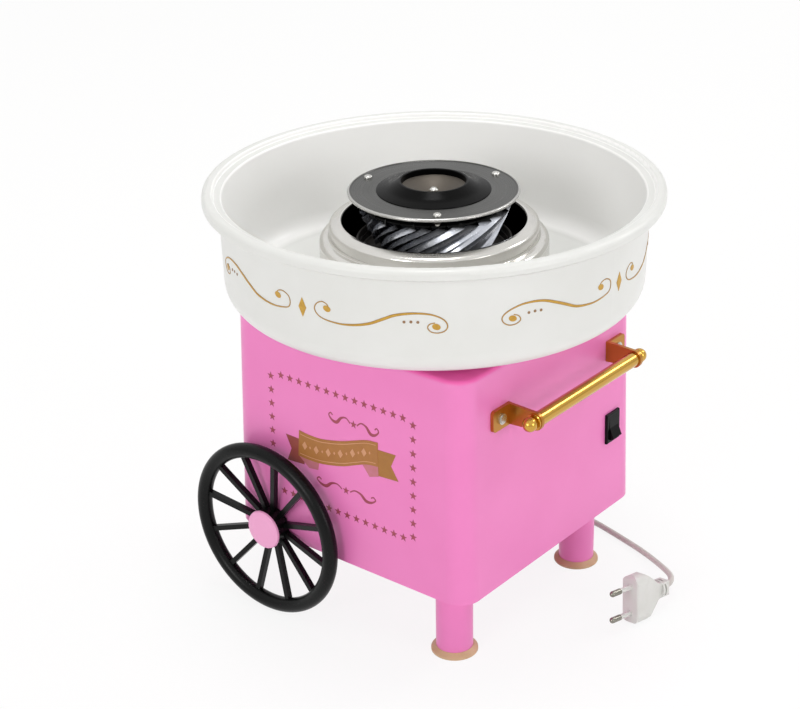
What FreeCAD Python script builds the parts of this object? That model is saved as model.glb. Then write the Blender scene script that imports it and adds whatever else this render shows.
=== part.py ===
"""Electric cotton candy machine in the shape of a two-wheeled cart.

Frame: millimetres, +Z up, origin on the floor under the bowl's axis. +X is the face with the
handle and the rocker switch, -Y is the decorated face, the wheels stand beside the -X end.
Every function returns a dictionary of node name to shape; each node becomes one STEP file.
"""
import FreeCAD, Part
import math
import os

from FreeCAD import Placement, Rotation, Vector

# ---------------------------------------------------------------- driving dimensions, mm
RUNNING_FIT = 0.05          # radial clearance of a part that turns on a pin
SEAT_FIT = 0.02             # radial clearance of a part pressed or clamped on a pin
BODY_GAP = 0.3              # air between parts that move past each other
SCREW_CLEARANCE = 0.15      # radial clearance of a screw in a through hole
RUBBER_FIT = 0.1            # radial clearance of a rubber stem or a boss in its hole
OVERLAP = 1.0               # how far a solid runs past what it joins or cuts

# housing
LEG_LENGTH = 48.2
HOUSING_HEIGHT = 150.5
HOUSING_HALF_BOTTOM = 95.5
HOUSING_HALF_TOP = 92.5
HOUSING_CORNER = 14.5
HOUSING_EDGE = 3.0
HOUSING_WALL = 2.5
DECK_THICKNESS = 3.0
SEAT_HEIGHT = 7.0           # bowl seat above the deck
SEAT_WIDTH = 11.7
PAN_SEAT_HEIGHT = 3.5       # seat of the heat pan above the deck
PAN_SEAT_WIDTH = 14.0
DECK_HOLE_GAP = 2.0         # round the hub, the bushings and the cutout that pass through

# bottom cover
COVER_THICKNESS = 3.0
COVER_SCREW_INSET = 9.0     # housing's half width below to a screw, along X and Y
COVER_SCREW_RADIUS = 1.5
COVER_SCREW_LENGTH = 16.0
COVER_BOSS_RADIUS = 4.5
COVER_BOSS_HEIGHT = 20.0
COVER_COUNTERBORE = 2.0     # depth of the recess for a screw's head
VENT_LENGTH = 44.0
VENT_WIDTH = 3.0
VENT_PITCH = 8.0
VENT_COUNT = 7

# legs and feet
LEG_INSET_X = 28.2          # housing's half width below to a leg, along X
LEG_INSET_Y = 26.4
LEG_RADIUS = 11.9
LEG_WALL = 2.0
LEG_FLOOR = 3.0
LEG_HEAD = 16.0             # solid head that takes the screw
LEG_SCREW_RADIUS = 2.0
LEG_SCREW_LENGTH = 14.0
FOOT_HEIGHT = 3.8
FOOT_RADIUS = 15.1
FOOT_RIM = 3.6              # width of the ring that rests on the floor
FOOT_STEM_RADIUS = 4.0
FOOT_KNOB_RADIUS = 6.0
FOOT_KNOB_HEIGHT = 4.5
FOOT_HOLLOW = 2.2           # height of the suction hollow
FOOT_LIP = 1.4              # height of the foot's upright edge
LEG_SCREW_HEAD = 2.4

# wheels
WHEEL_X = -60.0
WHEEL_RADIUS = 60.0
TYRE_RADIUS = 5.0
WHEEL_STANDOFF = 9.36       # housing's wall to the mid plane of the rim
SPOKE_COUNT = 12
SPOKE_WIDTH = 3.4
SPOKE_THICKNESS = 3.8
SPOKE_PHASE = 19.1          # degrees
SPOKE_DISH = 6.0            # mid plane of the rim to a spoke's end at the hub, inwards
HUB_RADIUS = 12.5
HUB_LENGTH = 10.36
HUB_CAP_RADIUS = 13.3
HUB_CAP_HEIGHT = 2.0
HUB_CAP_SPIGOT = 3.2
HUB_CAP_SPIGOT_WALL = 1.6
AXLE_RADIUS = 3.0
AXLE_HEAD_RADIUS = 4.7
AXLE_HEAD_THICKNESS = 2.6
AXLE_BOSS_RADIUS = 7.4
AXLE_BOSS_DEPTH = 12.0
AXLE_PAD_HEIGHT = 0.6
CLIP_THICKNESS = 0.8
AXLE_END = 0.9              # axle beyond its clip
CLIP_RADIUS = 6.6
HUB_POCKET_RADIUS = 8.0
HUB_POCKET_DEPTH = 5.0

# bowl
BOWL_RADIUS = 145.0         # outermost, at the lip
BOWL_WALL_TOP_RADIUS = 134.9
BOWL_WALL_BOTTOM_RADIUS = 133.2
BOWL_HEIGHT = 72.4
BOWL_CORNER = 15.4
BOWL_SHEET = 2.5
BOWL_HOLE_GAP = 0.7         # between the collar and the bowl's hole
BOWL_SEAT_SETBACK = 0.8     # edge of the bowl's hole to the inner edge of its seat
LIP_DROP = 6.9              # crest to the underside of the lip
LIP_CREST_WIDTH = 6.9
LEDGE_DROP = 2.9            # crest to the ledge inside it
LEDGE_WIDTH = 3.4

# collar round the spinning head
COLLAR_RADIUS = 72.8
COLLAR_HEIGHT = 51.2
COLLAR_SHEET = 1.2
COLLAR_SHOULDER_HEIGHT = 40.0
COLLAR_BAND_RADIUS = 66.6
COLLAR_MOUTH_RADIUS = 58.3
COLLAR_LIP_DROP = 3.0
COLLAR_FOOT_WIDTH = 10.8
COLLAR_SCREW_CIRCLE = 66.8
COLLAR_SCREW_RADIUS = 1.5
COLLAR_SCREW_LENGTH = 6.0
COLLAR_SCREW_HEAD = 1.6
COLLAR_MOUTH_SKIRT = 5.0    # depth of the rim turned down inside the mouth
COLLAR_BAND_STEP = 2.0      # height of the groove under the band

# heater
PAN_SHEET = 1.0
PAN_RADIUS = 71.2
PAN_HOLE_RADIUS = 12.0
PAN_NECK_HEIGHT = 7.0
HEATER_CIRCLE = 42.0
HEATER_TUBE_RADIUS = 3.2
HEATER_HEIGHT = 15.0        # tube centre above the pan
HEATER_GAP_ANGLE = 24.0     # opening of the ring
HEATER_GAP_DIRECTION = 90.0
HEATER_LEG_LENGTH = 30.0
POST_RADIUS = 5.0
POST_ANGLES = (-90.0, -10.0, 190.0)
BUSHING_RADIUS = 5.2
BUSHING_HEIGHT = 6.0
BUSHING_FLANGE = 1.5        # its width and its thickness
BUSHING_DROP = 2.0          # sleeve below the pan
CUTOUT_RADIUS = 8.0
CUTOUT_HEIGHT = 8.0
CUTOUT_CIRCLE = 40.0
CUTOUT_ANGLE = 40.0
CUTOUT_TAB_WIDTH = 6.0
CUTOUT_TAB_LENGTH = 6.0
CUTOUT_TAB_THICKNESS = 2.0

# spinning head
FLOSS_GAP = 17.8            # collar mouth to the underside of the disc
DISC_RADIUS = 54.3
DISC_THICKNESS = 1.2
DISC_BEAD_RADIUS = 1.1
DISC_HOLE_RADIUS = 20.6
FUNNEL_BASE_RADIUS = 36.2
FUNNEL_TOP_RADIUS = 21.9
FUNNEL_BORE_RADIUS = 20.5
FUNNEL_HEIGHT = 6.1
FUNNEL_KNEE_RADIUS = 29.0   # middle of the hollow curve of its flank
FUNNEL_KNEE_HEIGHT = 2.3
FUNNEL_FLANK_ROUND = 14.0
DISH_RADIUS = 20.3
DISH_DROP = 3.8             # funnel's rim to the dish's rim
DISH_DEPTH = 5.8
DISH_FLOOR_RADIUS = 6.5
DISH_SHEET = 1.2
SPINNER_DEPTH = 40.0        # disc underside to the pan's underside
SPINNER_SHEET = 1.2
LOUVRE_RADIUS = 49.4        # at its foot
LOUVRE_TOP_RADIUS = 46.5
LOUVRE_NECK_RADIUS = 38.5   # of the waist between the louvres and the disc
LOUVRE_NECK_HEIGHT = 5.6    # disc's underside to the shoulder above the louvres
LOUVRE_FLANGE_RADIUS = 50.6
LOUVRE_COUNT = 24
LOUVRE_SLANT = 33.0         # degrees, a slot's rise above the level
LOUVRE_SLOT = 2.6
LOUVRE_BAND = 1.0           # plain band above and below the slots
SPINNER_HUB_RADIUS = 8.0
SPINNER_HUB_HEIGHT = 12.0
SPINNER_HUB_DROP = 4.0      # hub below the pan
SPINNER_RIM_HEIGHT = 5.0
HEAD_SCREW_CIRCLE = 47.0
HEAD_SCREW_PHASE = -49.5
HEAD_SCREW_RADIUS = 1.5
HEAD_SCREW_HEAD_RADIUS = 2.7
HEAD_SCREW_LENGTH = 6.0
HEAD_SCREW_HEAD_HEIGHT = 1.8
LOCK_NUT_RADIUS = 2.8
LOCK_NUT_HEIGHT = 2.2
SHAFT_RADIUS = 3.0
SHAFT_COLLAR_RADIUS = 5.0
SHAFT_COLLAR_HEIGHT = 12.0
SHAFT_STOP_HEIGHT = 3.0
SHAFT_TAIL = 2.0            # shaft below the motor's end cap
SHAFT_STUD_RADIUS = 1.5     # threaded end that the dish and its nut sit on
SPINNER_NUT_RADIUS = 2.9
SPINNER_NUT_HEIGHT = 4.6

# motor
MOTOR_RADIUS = 24.0
MOTOR_HEIGHT = 56.0
MOTOR_SHEET = 1.6
MOTOR_TOP = 2.2
MOTOR_CAP_HEIGHT = 6.0
BEARING_BOSS_RADIUS = 7.0
BEARING_BOSS_HEIGHT = 5.0
ARMATURE_RADIUS = 16.0
ARMATURE_HEIGHT = 32.0
ARMATURE_LOW = 12.0         # above the can's open end
ARMATURE_WINDING = 4.0      # winding's setback from the core's rim
ARMATURE_SLOTS = 9
ARMATURE_SLOT_DEPTH = 3.0
ARMATURE_SLOT_WIDTH = 1.6
COMMUTATOR_RADIUS = 8.0
COMMUTATOR_HEIGHT = 10.0
MAGNET_THICKNESS = 4.8
MAGNET_ANGLE = 124.0
MAGNET_LOW = 10.0           # above the can's open end
MAGNET_HIGH = 8.0           # below the can's top
BRACKET_LENGTH = 94.0
BRACKET_WIDTH = 36.0
BRACKET_THICKNESS = 2.0
BRACKET_CORNER = 4.0
MOTOR_SCREW_CIRCLE = 15.0
MOTOR_SCREW_RADIUS = 1.5
MOTOR_SCREW_HEAD = 1.5
MOUNT_X = 39.0
MOUNT_Y = 11.0
MOUNT_BOSS_RADIUS = 5.0
MOUNT_BOSS_HEIGHT = 9.5
MOUNT_SCREW_RADIUS = 1.9
MOUNT_SCREW_LENGTH = 13.0
MOUNT_SCREW_HEAD = 2.2
BUSH_RADIUS = 5.6
BUSH_HEIGHT = 4.0

# handle
HANDLE_CENTRE = 5.5         # along Y
HANDLE_HEIGHT = 168.9
HANDLE_HALF = 55.5          # centre to the outer face of an arm
HANDLE_REACH = 20.8         # housing face to the bar's axis
BAR_RADIUS = 4.7
PLATE_LENGTH = 18.6
PLATE_HEIGHT = 14.0
PLATE_THICKNESS = 2.3
PLATE_CORNER = 2.4
ARM_END_RADIUS = 5.6        # round end of an arm, about the bar's axis
STUD_RADIUS = 2.4
STUD_LENGTH = 5.5           # beyond the arm
BALL_RADIUS = 4.6
BALL_OFFSET = 5.0           # ball centre beyond the arm
BALL_COLLAR_RADIUS = 5.2
BALL_COLLAR_LENGTH = 1.6
BRACKET_SCREW_RADIUS = 2.0
BRACKET_SCREW_HEAD_RADIUS = 3.5
BRACKET_SCREW_LENGTH = 9.0
BRACKET_NUT_RADIUS = 4.0
BRACKET_NUT_HEIGHT = 3.2

# rocker switch
SWITCH_Y = 66.2
SWITCH_HEIGHT = 112.5
BEZEL_WIDTH = 15.0
BEZEL_HEIGHT = 21.0
BEZEL_DEPTH = 2.0
SWITCH_BODY_WIDTH = 12.8
SWITCH_BODY_HEIGHT = 19.4
SWITCH_BODY_DEPTH = 16.0
BEZEL_EDGE = 0.8
ROCKER_PIN_BEARING = 0.8    # depth of the pins' holes
BACK_ROOM = 2.5             # cavity behind the level rocker
ROCKER_RADIUS = 8.4
ROCKER_WIDTH = 9.8
ROCKER_TILT = 12.0          # degrees from the middle, each way
ROCKER_EDGE_ANGLE = 26.1    # degrees, edge of the rocker above its pivot
ROCKER_VALLEY = 2.4
ROCKER_BACK = 5.0
ROCKER_PIN_RADIUS = 1.2
BLADE_THICKNESS = 0.8
BLADE_WIDTH = 6.0
BLADE_LENGTH = 8.0
BLADE_HEIGHTS = (-5.0, 5.0) # from the middle of the switch

# electrics on the bottom cover
BLOCK_LENGTH = 24.0
BLOCK_WIDTH = 12.0
BLOCK_HEIGHT = 14.0
BLOCK_SETBACK = 17.3        # a leg's axis to the middle of the block, along X
WELL_RADIUS = 1.8
WELL_OFFSET = 8.5           # from the middle of the block
WELL_DEPTH = 5.0
BOARD_X = -46.0
BOARD_LENGTH = 36.0
BOARD_WIDTH = 40.0
BOARD_THICKNESS = 1.6
BOARD_POST_HEIGHT = 8.0
BOARD_POST_RADIUS = 3.0
BOARD_SCREW_RADIUS = 1.2
BOARD_SCREW_LENGTH = 6.0
BOARD_SCREW_INSET = 4.5     # from the board's edges
BOARD_SCREW_HEAD = 1.4
BRIDGE_CORNER = (-12.0, -13.0)      # from the middle of the board
BRIDGE_SIZE = (8.0, 10.0, 8.0)
CAPACITOR_PLACE = (-8.0, 4.5)
CAPACITOR_RADIUS = 5.0
CAPACITOR_HEIGHT = 14.0
WIRE_RADIUS = 1.0
WIRE_PAD_X = (2.0, 8.0)     # from the middle of the board
WIRE_PAD_Y = 10.0
# corners of the wires, from a heater leg down, above a pad, and above a well of the block
HEATER_WIRE_DROP = [(0.0, 0.0, -12.0), (-5.0, -1.0, -44.0)]
PAD_WIRE_RISE = [(8.0, 15.0, 36.0), (0.0, 0.0, 15.0)]
WELL_WIRE_RISE = [(2.0, 1.0, 24.0), (0.0, 0.0, 9.0)]
SWITCH_WIRE_STRAIGHT = 6.0  # first run out of a blade

# mains cord
CORD_RADIUS = 2.0
GLAND_X = 50.0
GLAND_HEIGHT = 62.5
GLAND_FLANGE_RADIUS = 6.6
GLAND_FLANGE_THICKNESS = 2.2
GLAND_BODY_RADIUS = 4.8
GLAND_LENGTH = 20.0
GLAND_TIP_RADIUS = 2.9
GLAND_NUT_WIDTH = 1.2       # width and, doubled, height of the nut inside
INNER_LEAD_LENGTH = 24.0
COIL_X = -2.0
COIL_Y = 137.0
COIL_RADIUS = 22.0          # middle of the turns
COIL_TURNS_WIDE = 3
COIL_TURNS_HIGH = 2
COIL_STUB = 16.0
COIL_RUN = 11.6             # straight run of the free cord beyond a stub
COIL_ENTRY_ANGLE = 70.0
COIL_EXIT_ANGLE = -90.0
# corners of the free cord between the gland and the coil, and between the coil and the plug
LEAD_ROUTE = [(50.0, 139.2, 56.7), (50.3, 145.4, 45.3), (49.8, 145.8, 24.2), (44.0, 147.8, 12.6),
              ]
LEAD_STRAIGHT = 12.5        # first run out of the gland
TAIL_ROUTE = [(38.5, 114.0, 2.0), (51.0, 115.4, 2.0), (64.0, 112.2, 2.0),
              (78.0, 108.3, 2.0), (97.7, 102.2, 2.3), (114.5, 94.2, 3.7), (127.3, 85.2, 6.6),
              (137.6, 76.4, 10.0), (144.0, 68.6, 12.6)]
TAIL_STRAIGHT = 5.0         # last run into the plug
CORD_ARC_SHARE = 0.45

# plug, resting on its long edge
PLUG_X = 137.8              # middle of the pin tips
PLUG_Y = 3.8
PLUG_HEADING = -98.5        # degrees, the way the pins point
PLUG_PITCH = 7.0            # degrees, pins up
PLUG_LEAN = 8.0             # degrees, top edge away from +X
PLUG_WIDTH = 33.0
PLUG_THICKNESS = 13.7
PLUG_LENGTH = 35.0
PLUG_NECK_WIDTH = 10.0
PLUG_NECK_LENGTH = 10.0
PLUG_SHOULDER = 10.0
PIN_SPACING = 18.0
PIN_RADIUS = 2.0
PIN_LENGTH = 19.0
PIN_SLEEVE = 10.0
PIN_SLEEVE_RADIUS = 1.75
PIN_CORE_RADIUS = 1.3
PIN_ROOT = 6.0              # core inside the body
PLUG_RIB_HEIGHT = 0.9
PLUG_RIB_WIDTH = 1.6
PLUG_RIB_OFFSETS = (2.6, 5.8)
# roundings of the plug: its section, its outline seen from the flat side, then its side view
PLUG_SECTION_ROUND = 6.4    # of the long edges, seen along the pins
PLUG_FRONT_ROUND = 3.0
PLUG_SHOULDER_ROUND = 7.0
PLUG_WAIST_ROUND = 6.0
PLUG_FACE_ROUND = 1.5
PLUG_BACK_ROUND = 8.0
PLUG_NECK_ROUND = 5.0
PLUG_NECK_FLAT = 1.0        # how much thinner the neck is than half its width

# ---------------------------------------------------------------- places worked out from them
HOUSING_BOTTOM = FOOT_HEIGHT + LEG_LENGTH
DECK_Z = HOUSING_BOTTOM + HOUSING_HEIGHT
DECK_UNDERSIDE = DECK_Z - DECK_THICKNESS
DRAFT = math.degrees(math.atan((HOUSING_HALF_BOTTOM - HOUSING_HALF_TOP) / HOUSING_HEIGHT))
COVER_TOP = HOUSING_BOTTOM + COVER_THICKNESS
COVER_SCREW_OFFSET = HOUSING_HALF_BOTTOM - COVER_SCREW_INSET
LEG_X = HOUSING_HALF_BOTTOM - LEG_INSET_X
LEG_Y = HOUSING_HALF_BOTTOM - LEG_INSET_Y
BLOCK_X = LEG_X - BLOCK_SETBACK
BOWL_BOTTOM = DECK_Z + SEAT_HEIGHT
PAN_BOTTOM = DECK_Z + PAN_SEAT_HEIGHT
PAN_TOP = PAN_BOTTOM + PAN_SHEET
COLLAR_TOP = PAN_TOP + COLLAR_HEIGHT
DISC_Z = COLLAR_TOP + FLOSS_GAP
DISC_TOP = DISC_Z + DISC_THICKNESS
SPINNER_Z = DISC_Z - SPINNER_DEPTH
MOTOR_TOP_Z = DECK_UNDERSIDE - MOUNT_BOSS_HEIGHT - BUSH_HEIGHT - BRACKET_THICKNESS
MOTOR_BOTTOM_Z = MOTOR_TOP_Z - MOTOR_HEIGHT
COIL_OUTERMOST = (COIL_TURNS_WIDE - 1) / 2   # last turn's place from the middle one
SIDE_ANGLE = {"+X": 0.0, "+Y": 90.0, "-X": 180.0, "-Y": -90.0}
SIDES = {"left": -1, "right": 1}    # seen from behind the handle: left is -Y


def half_at(height):
    """Half width of the housing at a height above the floor."""
    share = (height - HOUSING_BOTTOM) / HOUSING_HEIGHT
    return HOUSING_HALF_BOTTOM + (HOUSING_HALF_TOP - HOUSING_HALF_BOTTOM) * share


# ---------------------------------------------------------------- geometry helpers
def rounded_edges(corners, radii, closed):
    """Straight edges between corners, with a tangent arc at each corner that has a radius."""
    count = len(corners)
    starts, ends, arcs = [], [], []
    for index in range(count):
        corner = corners[index]
        if radii[index] <= 0:
            starts.append(corner)
            ends.append(corner)
            arcs.append(None)
            continue
        back = (corners[index - 1] - corner).normalize()
        ahead = (corners[(index + 1) % count] - corner).normalize()
        turn = math.pi - back.getAngle(ahead)
        length = radii[index] * math.tan(turn / 2)
        first, last = corner + back * length, corner + ahead * length
        bisector = (back + ahead).normalize()
        middle = corner + bisector * (radii[index] / math.cos(turn / 2) - radii[index])
        starts.append(first)
        ends.append(last)
        arcs.append(Part.Arc(first, middle, last).toShape())
    edges = []
    for index in range(count):
        if arcs[index]:
            edges.append(arcs[index])
        following = (index + 1) % count
        if following == 0 and not closed:
            break
        if ends[index].distanceToPoint(starts[following]) > 1e-6:
            edges.append(Part.LineSegment(ends[index], starts[following]).toShape())
    return edges


def closed_wire(corners):
    """Closed wire from (x, y, z) or (x, y, z, radius) corners."""
    points = [Vector(*corner[:3]) for corner in corners]
    radii = [corner[3] if len(corner) > 3 else 0 for corner in corners]
    return Part.Wire(rounded_edges(points, radii, True))


def turned(outline):
    """Solid of revolution about Z from (radius, height) or (radius, height, fillet) corners."""
    wire = closed_wire([(point[0], 0, *point[1:]) for point in outline])
    return Part.Face(wire).revolve(Vector(0, 0, 0), Vector(0, 0, 1), 360)


def cylinder(radius, low, high, x=0.0, y=0.0):
    """Upright cylinder between two heights."""
    return Part.makeCylinder(radius, high - low, Vector(x, y, low))


def ring(outer, inner, low, high, x=0.0, y=0.0):
    """Upright ring between two heights."""
    return cylinder(outer, low, high, x, y).cut(cylinder(inner, low, high, x, y))


def block(low, high):
    """Box between two corners."""
    size = Vector(*high) - Vector(*low)
    return Part.makeBox(size.x, size.y, size.z, Vector(*low))


def hexagon(radius, low, high, x=0.0, y=0.0):
    """Upright hexagonal prism, radius to its corners."""
    angles = [math.radians(60 * step) for step in range(6)]
    wire = closed_wire([(x + radius * math.cos(a), y + radius * math.sin(a), low) for a in angles])
    return Part.Face(wire).extrude(Vector(0, 0, high - low))


def rounded_square(half, corner, height):
    """Horizontal wire of a square with round corners."""
    return closed_wire([(half, half, height, corner), (-half, half, height, corner),
                        (-half, -half, height, corner), (half, -half, height, corner)])


def united(shapes):
    """One solid from shapes that overlap."""
    return shapes[0].multiFuse(shapes[1:]).removeSplitter()


def group(shapes):
    """Separate solids that share one node."""
    return Part.makeCompound(shapes)


def on_circle(radius, degrees):
    """X and Y of a point on a circle about the Z axis."""
    angle = math.radians(degrees)
    return radius * math.cos(angle), radius * math.sin(angle)


def on_face(shape, side, along, height):
    """Place a shape made against X = 0, with +X outwards and Z up the wall, on a housing face."""
    lean = Placement(Vector(half_at(height), along, height), Rotation(Vector(0, 1, 0), -DRAFT))
    spin = Placement(Vector(0, 0, 0), Rotation(Vector(0, 0, 1), SIDE_ANGLE[side]))
    placed = shape.copy()
    placed.Placement = spin.multiply(lean).multiply(placed.Placement)
    return placed


def face_point(distance, side, along, height):
    """Point at a distance out of a housing face, on the face's normal."""
    return on_face(Part.Vertex(distance, 0, 0), side, along, height).Point


def along_x(radius, low, high, y=0.0, z=0.0):
    """Cylinder along X."""
    return Part.makeCylinder(radius, high - low, Vector(low, y, z), Vector(1, 0, 0))


def along_y(radius, low, high, x=0.0, z=0.0):
    """Cylinder along Y."""
    return Part.makeCylinder(radius, high - low, Vector(x, low, z), Vector(0, 1, 0))


def at_wheel(shape, sign):
    """Lay a shape made about Z, with Z the distance from the middle, along a wheel's axle."""
    laid = shape.copy()
    turn = Rotation(Vector(1, 0, 0), -90 * sign)
    laid.Placement = Placement(Vector(WHEEL_X, 0, WHEEL_RADIUS), turn).multiply(laid.Placement)
    return laid


def tube(corners, radius, share=CORD_ARC_SHARE):
    """Round cord along straight runs joined by tangent arcs, with its bend radii and length."""
    points = [Vector(*corner) for corner in corners]
    radii = [0.0]
    for before, corner, after in zip(points, points[1:], points[2:]):
        first, second = corner - before, after - corner
        turn = first.getAngle(second)
        radii.append(share * min(first.Length, second.Length) / math.tan(turn / 2))
    radii.append(0.0)
    path = Part.Wire(rounded_edges(points, radii, False))
    section = Part.Wire(Part.Circle(points[0], points[1] - points[0], radius).toShape())
    solid = path.makePipeShell([section], True, False)
    return solid, radii[1:-1], path.Length


# ---------------------------------------------------------------- housing, legs and wheels
def housing_blank(inset, low, high):
    """Tapered box with round corners, inset from the outer faces."""
    corner = HOUSING_CORNER - inset
    bottom = rounded_square(half_at(low) - inset, corner, low)
    top = rounded_square(half_at(high) - inset, corner, high)
    return Part.makeLoft([bottom, top], True, True)


def corner_places(offset_x, offset_y):
    """Four mirrored places about the Z axis."""
    return [(sx * offset_x, sy * offset_y) for sx in (1, -1) for sy in (1, -1)]


def heater_leg_places():
    """X and Y of the two legs of the heating element."""
    half_gap = HEATER_GAP_ANGLE / 2
    return [on_circle(HEATER_CIRCLE, HEATER_GAP_DIRECTION + sign * half_gap) for sign in (1, -1)]


def even_angles(phase, count=3):
    """Evenly spaced angles."""
    return [phase + 360.0 / count * step for step in range(count)]


def make_housing():
    """Pink box, open below, with the deck, the bowl seat and all of its bosses and holes."""
    outer = housing_blank(0, HOUSING_BOTTOM, DECK_Z)
    top_edges = [edge for edge in outer.Edges
                 if abs(edge.BoundBox.ZMin - DECK_Z) < 1e-6 and edge.BoundBox.ZLength < 1e-6]
    outer = outer.makeFillet(HOUSING_EDGE, top_edges)
    shell = outer.cut(housing_blank(HOUSING_WALL, HOUSING_BOTTOM, DECK_UNDERSIDE))
    seat_inner = COLLAR_RADIUS + BOWL_HOLE_GAP + BOWL_SEAT_SETBACK
    parts = [shell]
    parts.append(ring(seat_inner + SEAT_WIDTH, seat_inner, DECK_UNDERSIDE, BOWL_BOTTOM))
    parts.append(ring(seat_inner + OVERLAP, seat_inner - PAN_SEAT_WIDTH, DECK_UNDERSIDE, PAN_BOTTOM))
    boss_base = MOTOR_TOP_Z + BRACKET_THICKNESS + BUSH_HEIGHT
    for x, y in corner_places(MOUNT_X, MOUNT_Y):
        parts.append(cylinder(MOUNT_BOSS_RADIUS, boss_base, DECK_UNDERSIDE + OVERLAP, x, y))
    cover_bosses = [cylinder(COVER_BOSS_RADIUS, COVER_TOP, COVER_TOP + COVER_BOSS_HEIGHT, x, y)
                    for x, y in corner_places(COVER_SCREW_OFFSET, COVER_SCREW_OFFSET)]
    inside = housing_blank(HOUSING_WALL / 2, HOUSING_BOTTOM, DECK_Z)
    parts += [boss.common(inside) for boss in cover_bosses]
    for sign in SIDES.values():
        wall = half_at(WHEEL_RADIUS)
        boss = cylinder(AXLE_BOSS_RADIUS, wall - AXLE_BOSS_DEPTH, wall + AXLE_PAD_HEIGHT)
        boss = at_wheel(boss, sign)
        parts.append(boss.cut(housing_blank(HOUSING_WALL, 0, COVER_TOP + BODY_GAP)))
    body = united(parts)
    holes = [cylinder(SPINNER_HUB_RADIUS + DECK_HOLE_GAP, DECK_UNDERSIDE - OVERLAP, DECK_Z + OVERLAP)]
    for x, y in heater_leg_places():
        radius = BUSHING_RADIUS + DECK_HOLE_GAP
        holes.append(cylinder(radius, DECK_UNDERSIDE - OVERLAP, DECK_Z + OVERLAP, x, y))
    x, y = on_circle(CUTOUT_CIRCLE, CUTOUT_ANGLE)
    radius = CUTOUT_RADIUS + DECK_HOLE_GAP
    holes.append(cylinder(radius, DECK_UNDERSIDE - OVERLAP, DECK_Z + OVERLAP, x, y))
    pilot_top = boss_base - BUSH_HEIGHT - BRACKET_THICKNESS + MOUNT_SCREW_LENGTH + OVERLAP
    for x, y in corner_places(MOUNT_X, MOUNT_Y):
        holes.append(cylinder(MOUNT_SCREW_RADIUS + SEAT_FIT, boss_base - OVERLAP, pilot_top, x, y))
    for x, y in corner_places(COVER_SCREW_OFFSET, COVER_SCREW_OFFSET):
        top = HOUSING_BOTTOM + COVER_SCREW_LENGTH + COVER_COUNTERBORE
        holes.append(cylinder(COVER_SCREW_RADIUS + SEAT_FIT, COVER_TOP - OVERLAP, top, x, y))
    for angle in even_angles(90):
        x, y = on_circle(COLLAR_SCREW_CIRCLE, angle)
        low = PAN_TOP + COLLAR_SHEET - COLLAR_SCREW_LENGTH - BODY_GAP
        holes.append(cylinder(COLLAR_SCREW_RADIUS + SEAT_FIT, low, PAN_BOTTOM + OVERLAP, x, y))
    for sign in SIDES.values():
        wall = half_at(WHEEL_RADIUS)
        inner_end, pad = wall - AXLE_BOSS_DEPTH, wall + AXLE_PAD_HEIGHT
        hole = cylinder(AXLE_RADIUS + SEAT_FIT, inner_end - OVERLAP, pad + OVERLAP)
        holes.append(at_wheel(hole, sign))
        plate = bracket_screw_place(sign)
        drill = along_x(BRACKET_SCREW_RADIUS + SCREW_CLEARANCE, -HOUSING_WALL - OVERLAP, OVERLAP)
        holes.append(on_face(drill, "+X", plate, HANDLE_HEIGHT))
    half_w = SWITCH_BODY_WIDTH / 2 + SEAT_FIT
    half_h = SWITCH_BODY_HEIGHT / 2 + SEAT_FIT
    window = block((-HOUSING_WALL - OVERLAP, -half_w, -half_h), (OVERLAP, half_w, half_h))
    holes.append(on_face(window, "+X", SWITCH_Y, SWITCH_HEIGHT))
    port = along_x(GLAND_BODY_RADIUS + SEAT_FIT, -HOUSING_WALL - OVERLAP, OVERLAP)
    holes.append(on_face(port, "+Y", -GLAND_X, GLAND_HEIGHT))
    return {"housing": body.cut(holes)}


def make_bottom_cover():
    """Plate that closes the housing, its vents, the board posts and the screws below it."""
    plate = housing_blank(HOUSING_WALL + BODY_GAP, HOUSING_BOTTOM, COVER_TOP)
    cuts = []
    for index in range(VENT_COUNT):
        x = (index - (VENT_COUNT - 1) / 2) * VENT_PITCH
        cuts.append(block((x - VENT_WIDTH / 2, -VENT_LENGTH / 2, HOUSING_BOTTOM - OVERLAP),
                          (x + VENT_WIDTH / 2, VENT_LENGTH / 2, COVER_TOP + OVERLAP)))
    screws = []
    head_radius = COVER_SCREW_RADIUS * 2
    for x, y in corner_places(COVER_SCREW_OFFSET, COVER_SCREW_OFFSET):
        hole = COVER_SCREW_RADIUS + SCREW_CLEARANCE
        cuts.append(cylinder(hole, HOUSING_BOTTOM - OVERLAP, COVER_TOP + OVERLAP, x, y))
        recess = HOUSING_BOTTOM + COVER_COUNTERBORE
        cuts.append(cylinder(head_radius + SCREW_CLEARANCE, HOUSING_BOTTOM - OVERLAP, recess, x, y))
        head = cylinder(head_radius, HOUSING_BOTTOM + SCREW_CLEARANCE, recess, x, y)
        shank_top = HOUSING_BOTTOM + COVER_SCREW_LENGTH
        shank = cylinder(COVER_SCREW_RADIUS, HOUSING_BOTTOM + OVERLAP, shank_top, x, y)
        screws.append(united([head, shank]))
    for sign in SIDES.values():
        hole = LEG_SCREW_RADIUS + SCREW_CLEARANCE
        cuts.append(cylinder(hole, HOUSING_BOTTOM - OVERLAP, COVER_TOP + OVERLAP, LEG_X, sign * LEG_Y))
    posts = [cylinder(BOARD_POST_RADIUS, COVER_TOP - OVERLAP, COVER_TOP + BOARD_POST_HEIGHT, x, y)
             for x, y in board_screw_places()]
    for x, y in board_screw_places():
        low = COVER_TOP + BOARD_POST_HEIGHT + BOARD_THICKNESS - BOARD_SCREW_LENGTH - BODY_GAP
        high = COVER_TOP + BOARD_POST_HEIGHT + OVERLAP
        cuts.append(cylinder(BOARD_SCREW_RADIUS + SEAT_FIT, low, high, x, y))
    cover = united([plate] + posts).cut(cuts)
    return {"bottom_cover": cover, "cover_screws": group(screws)}


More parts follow.
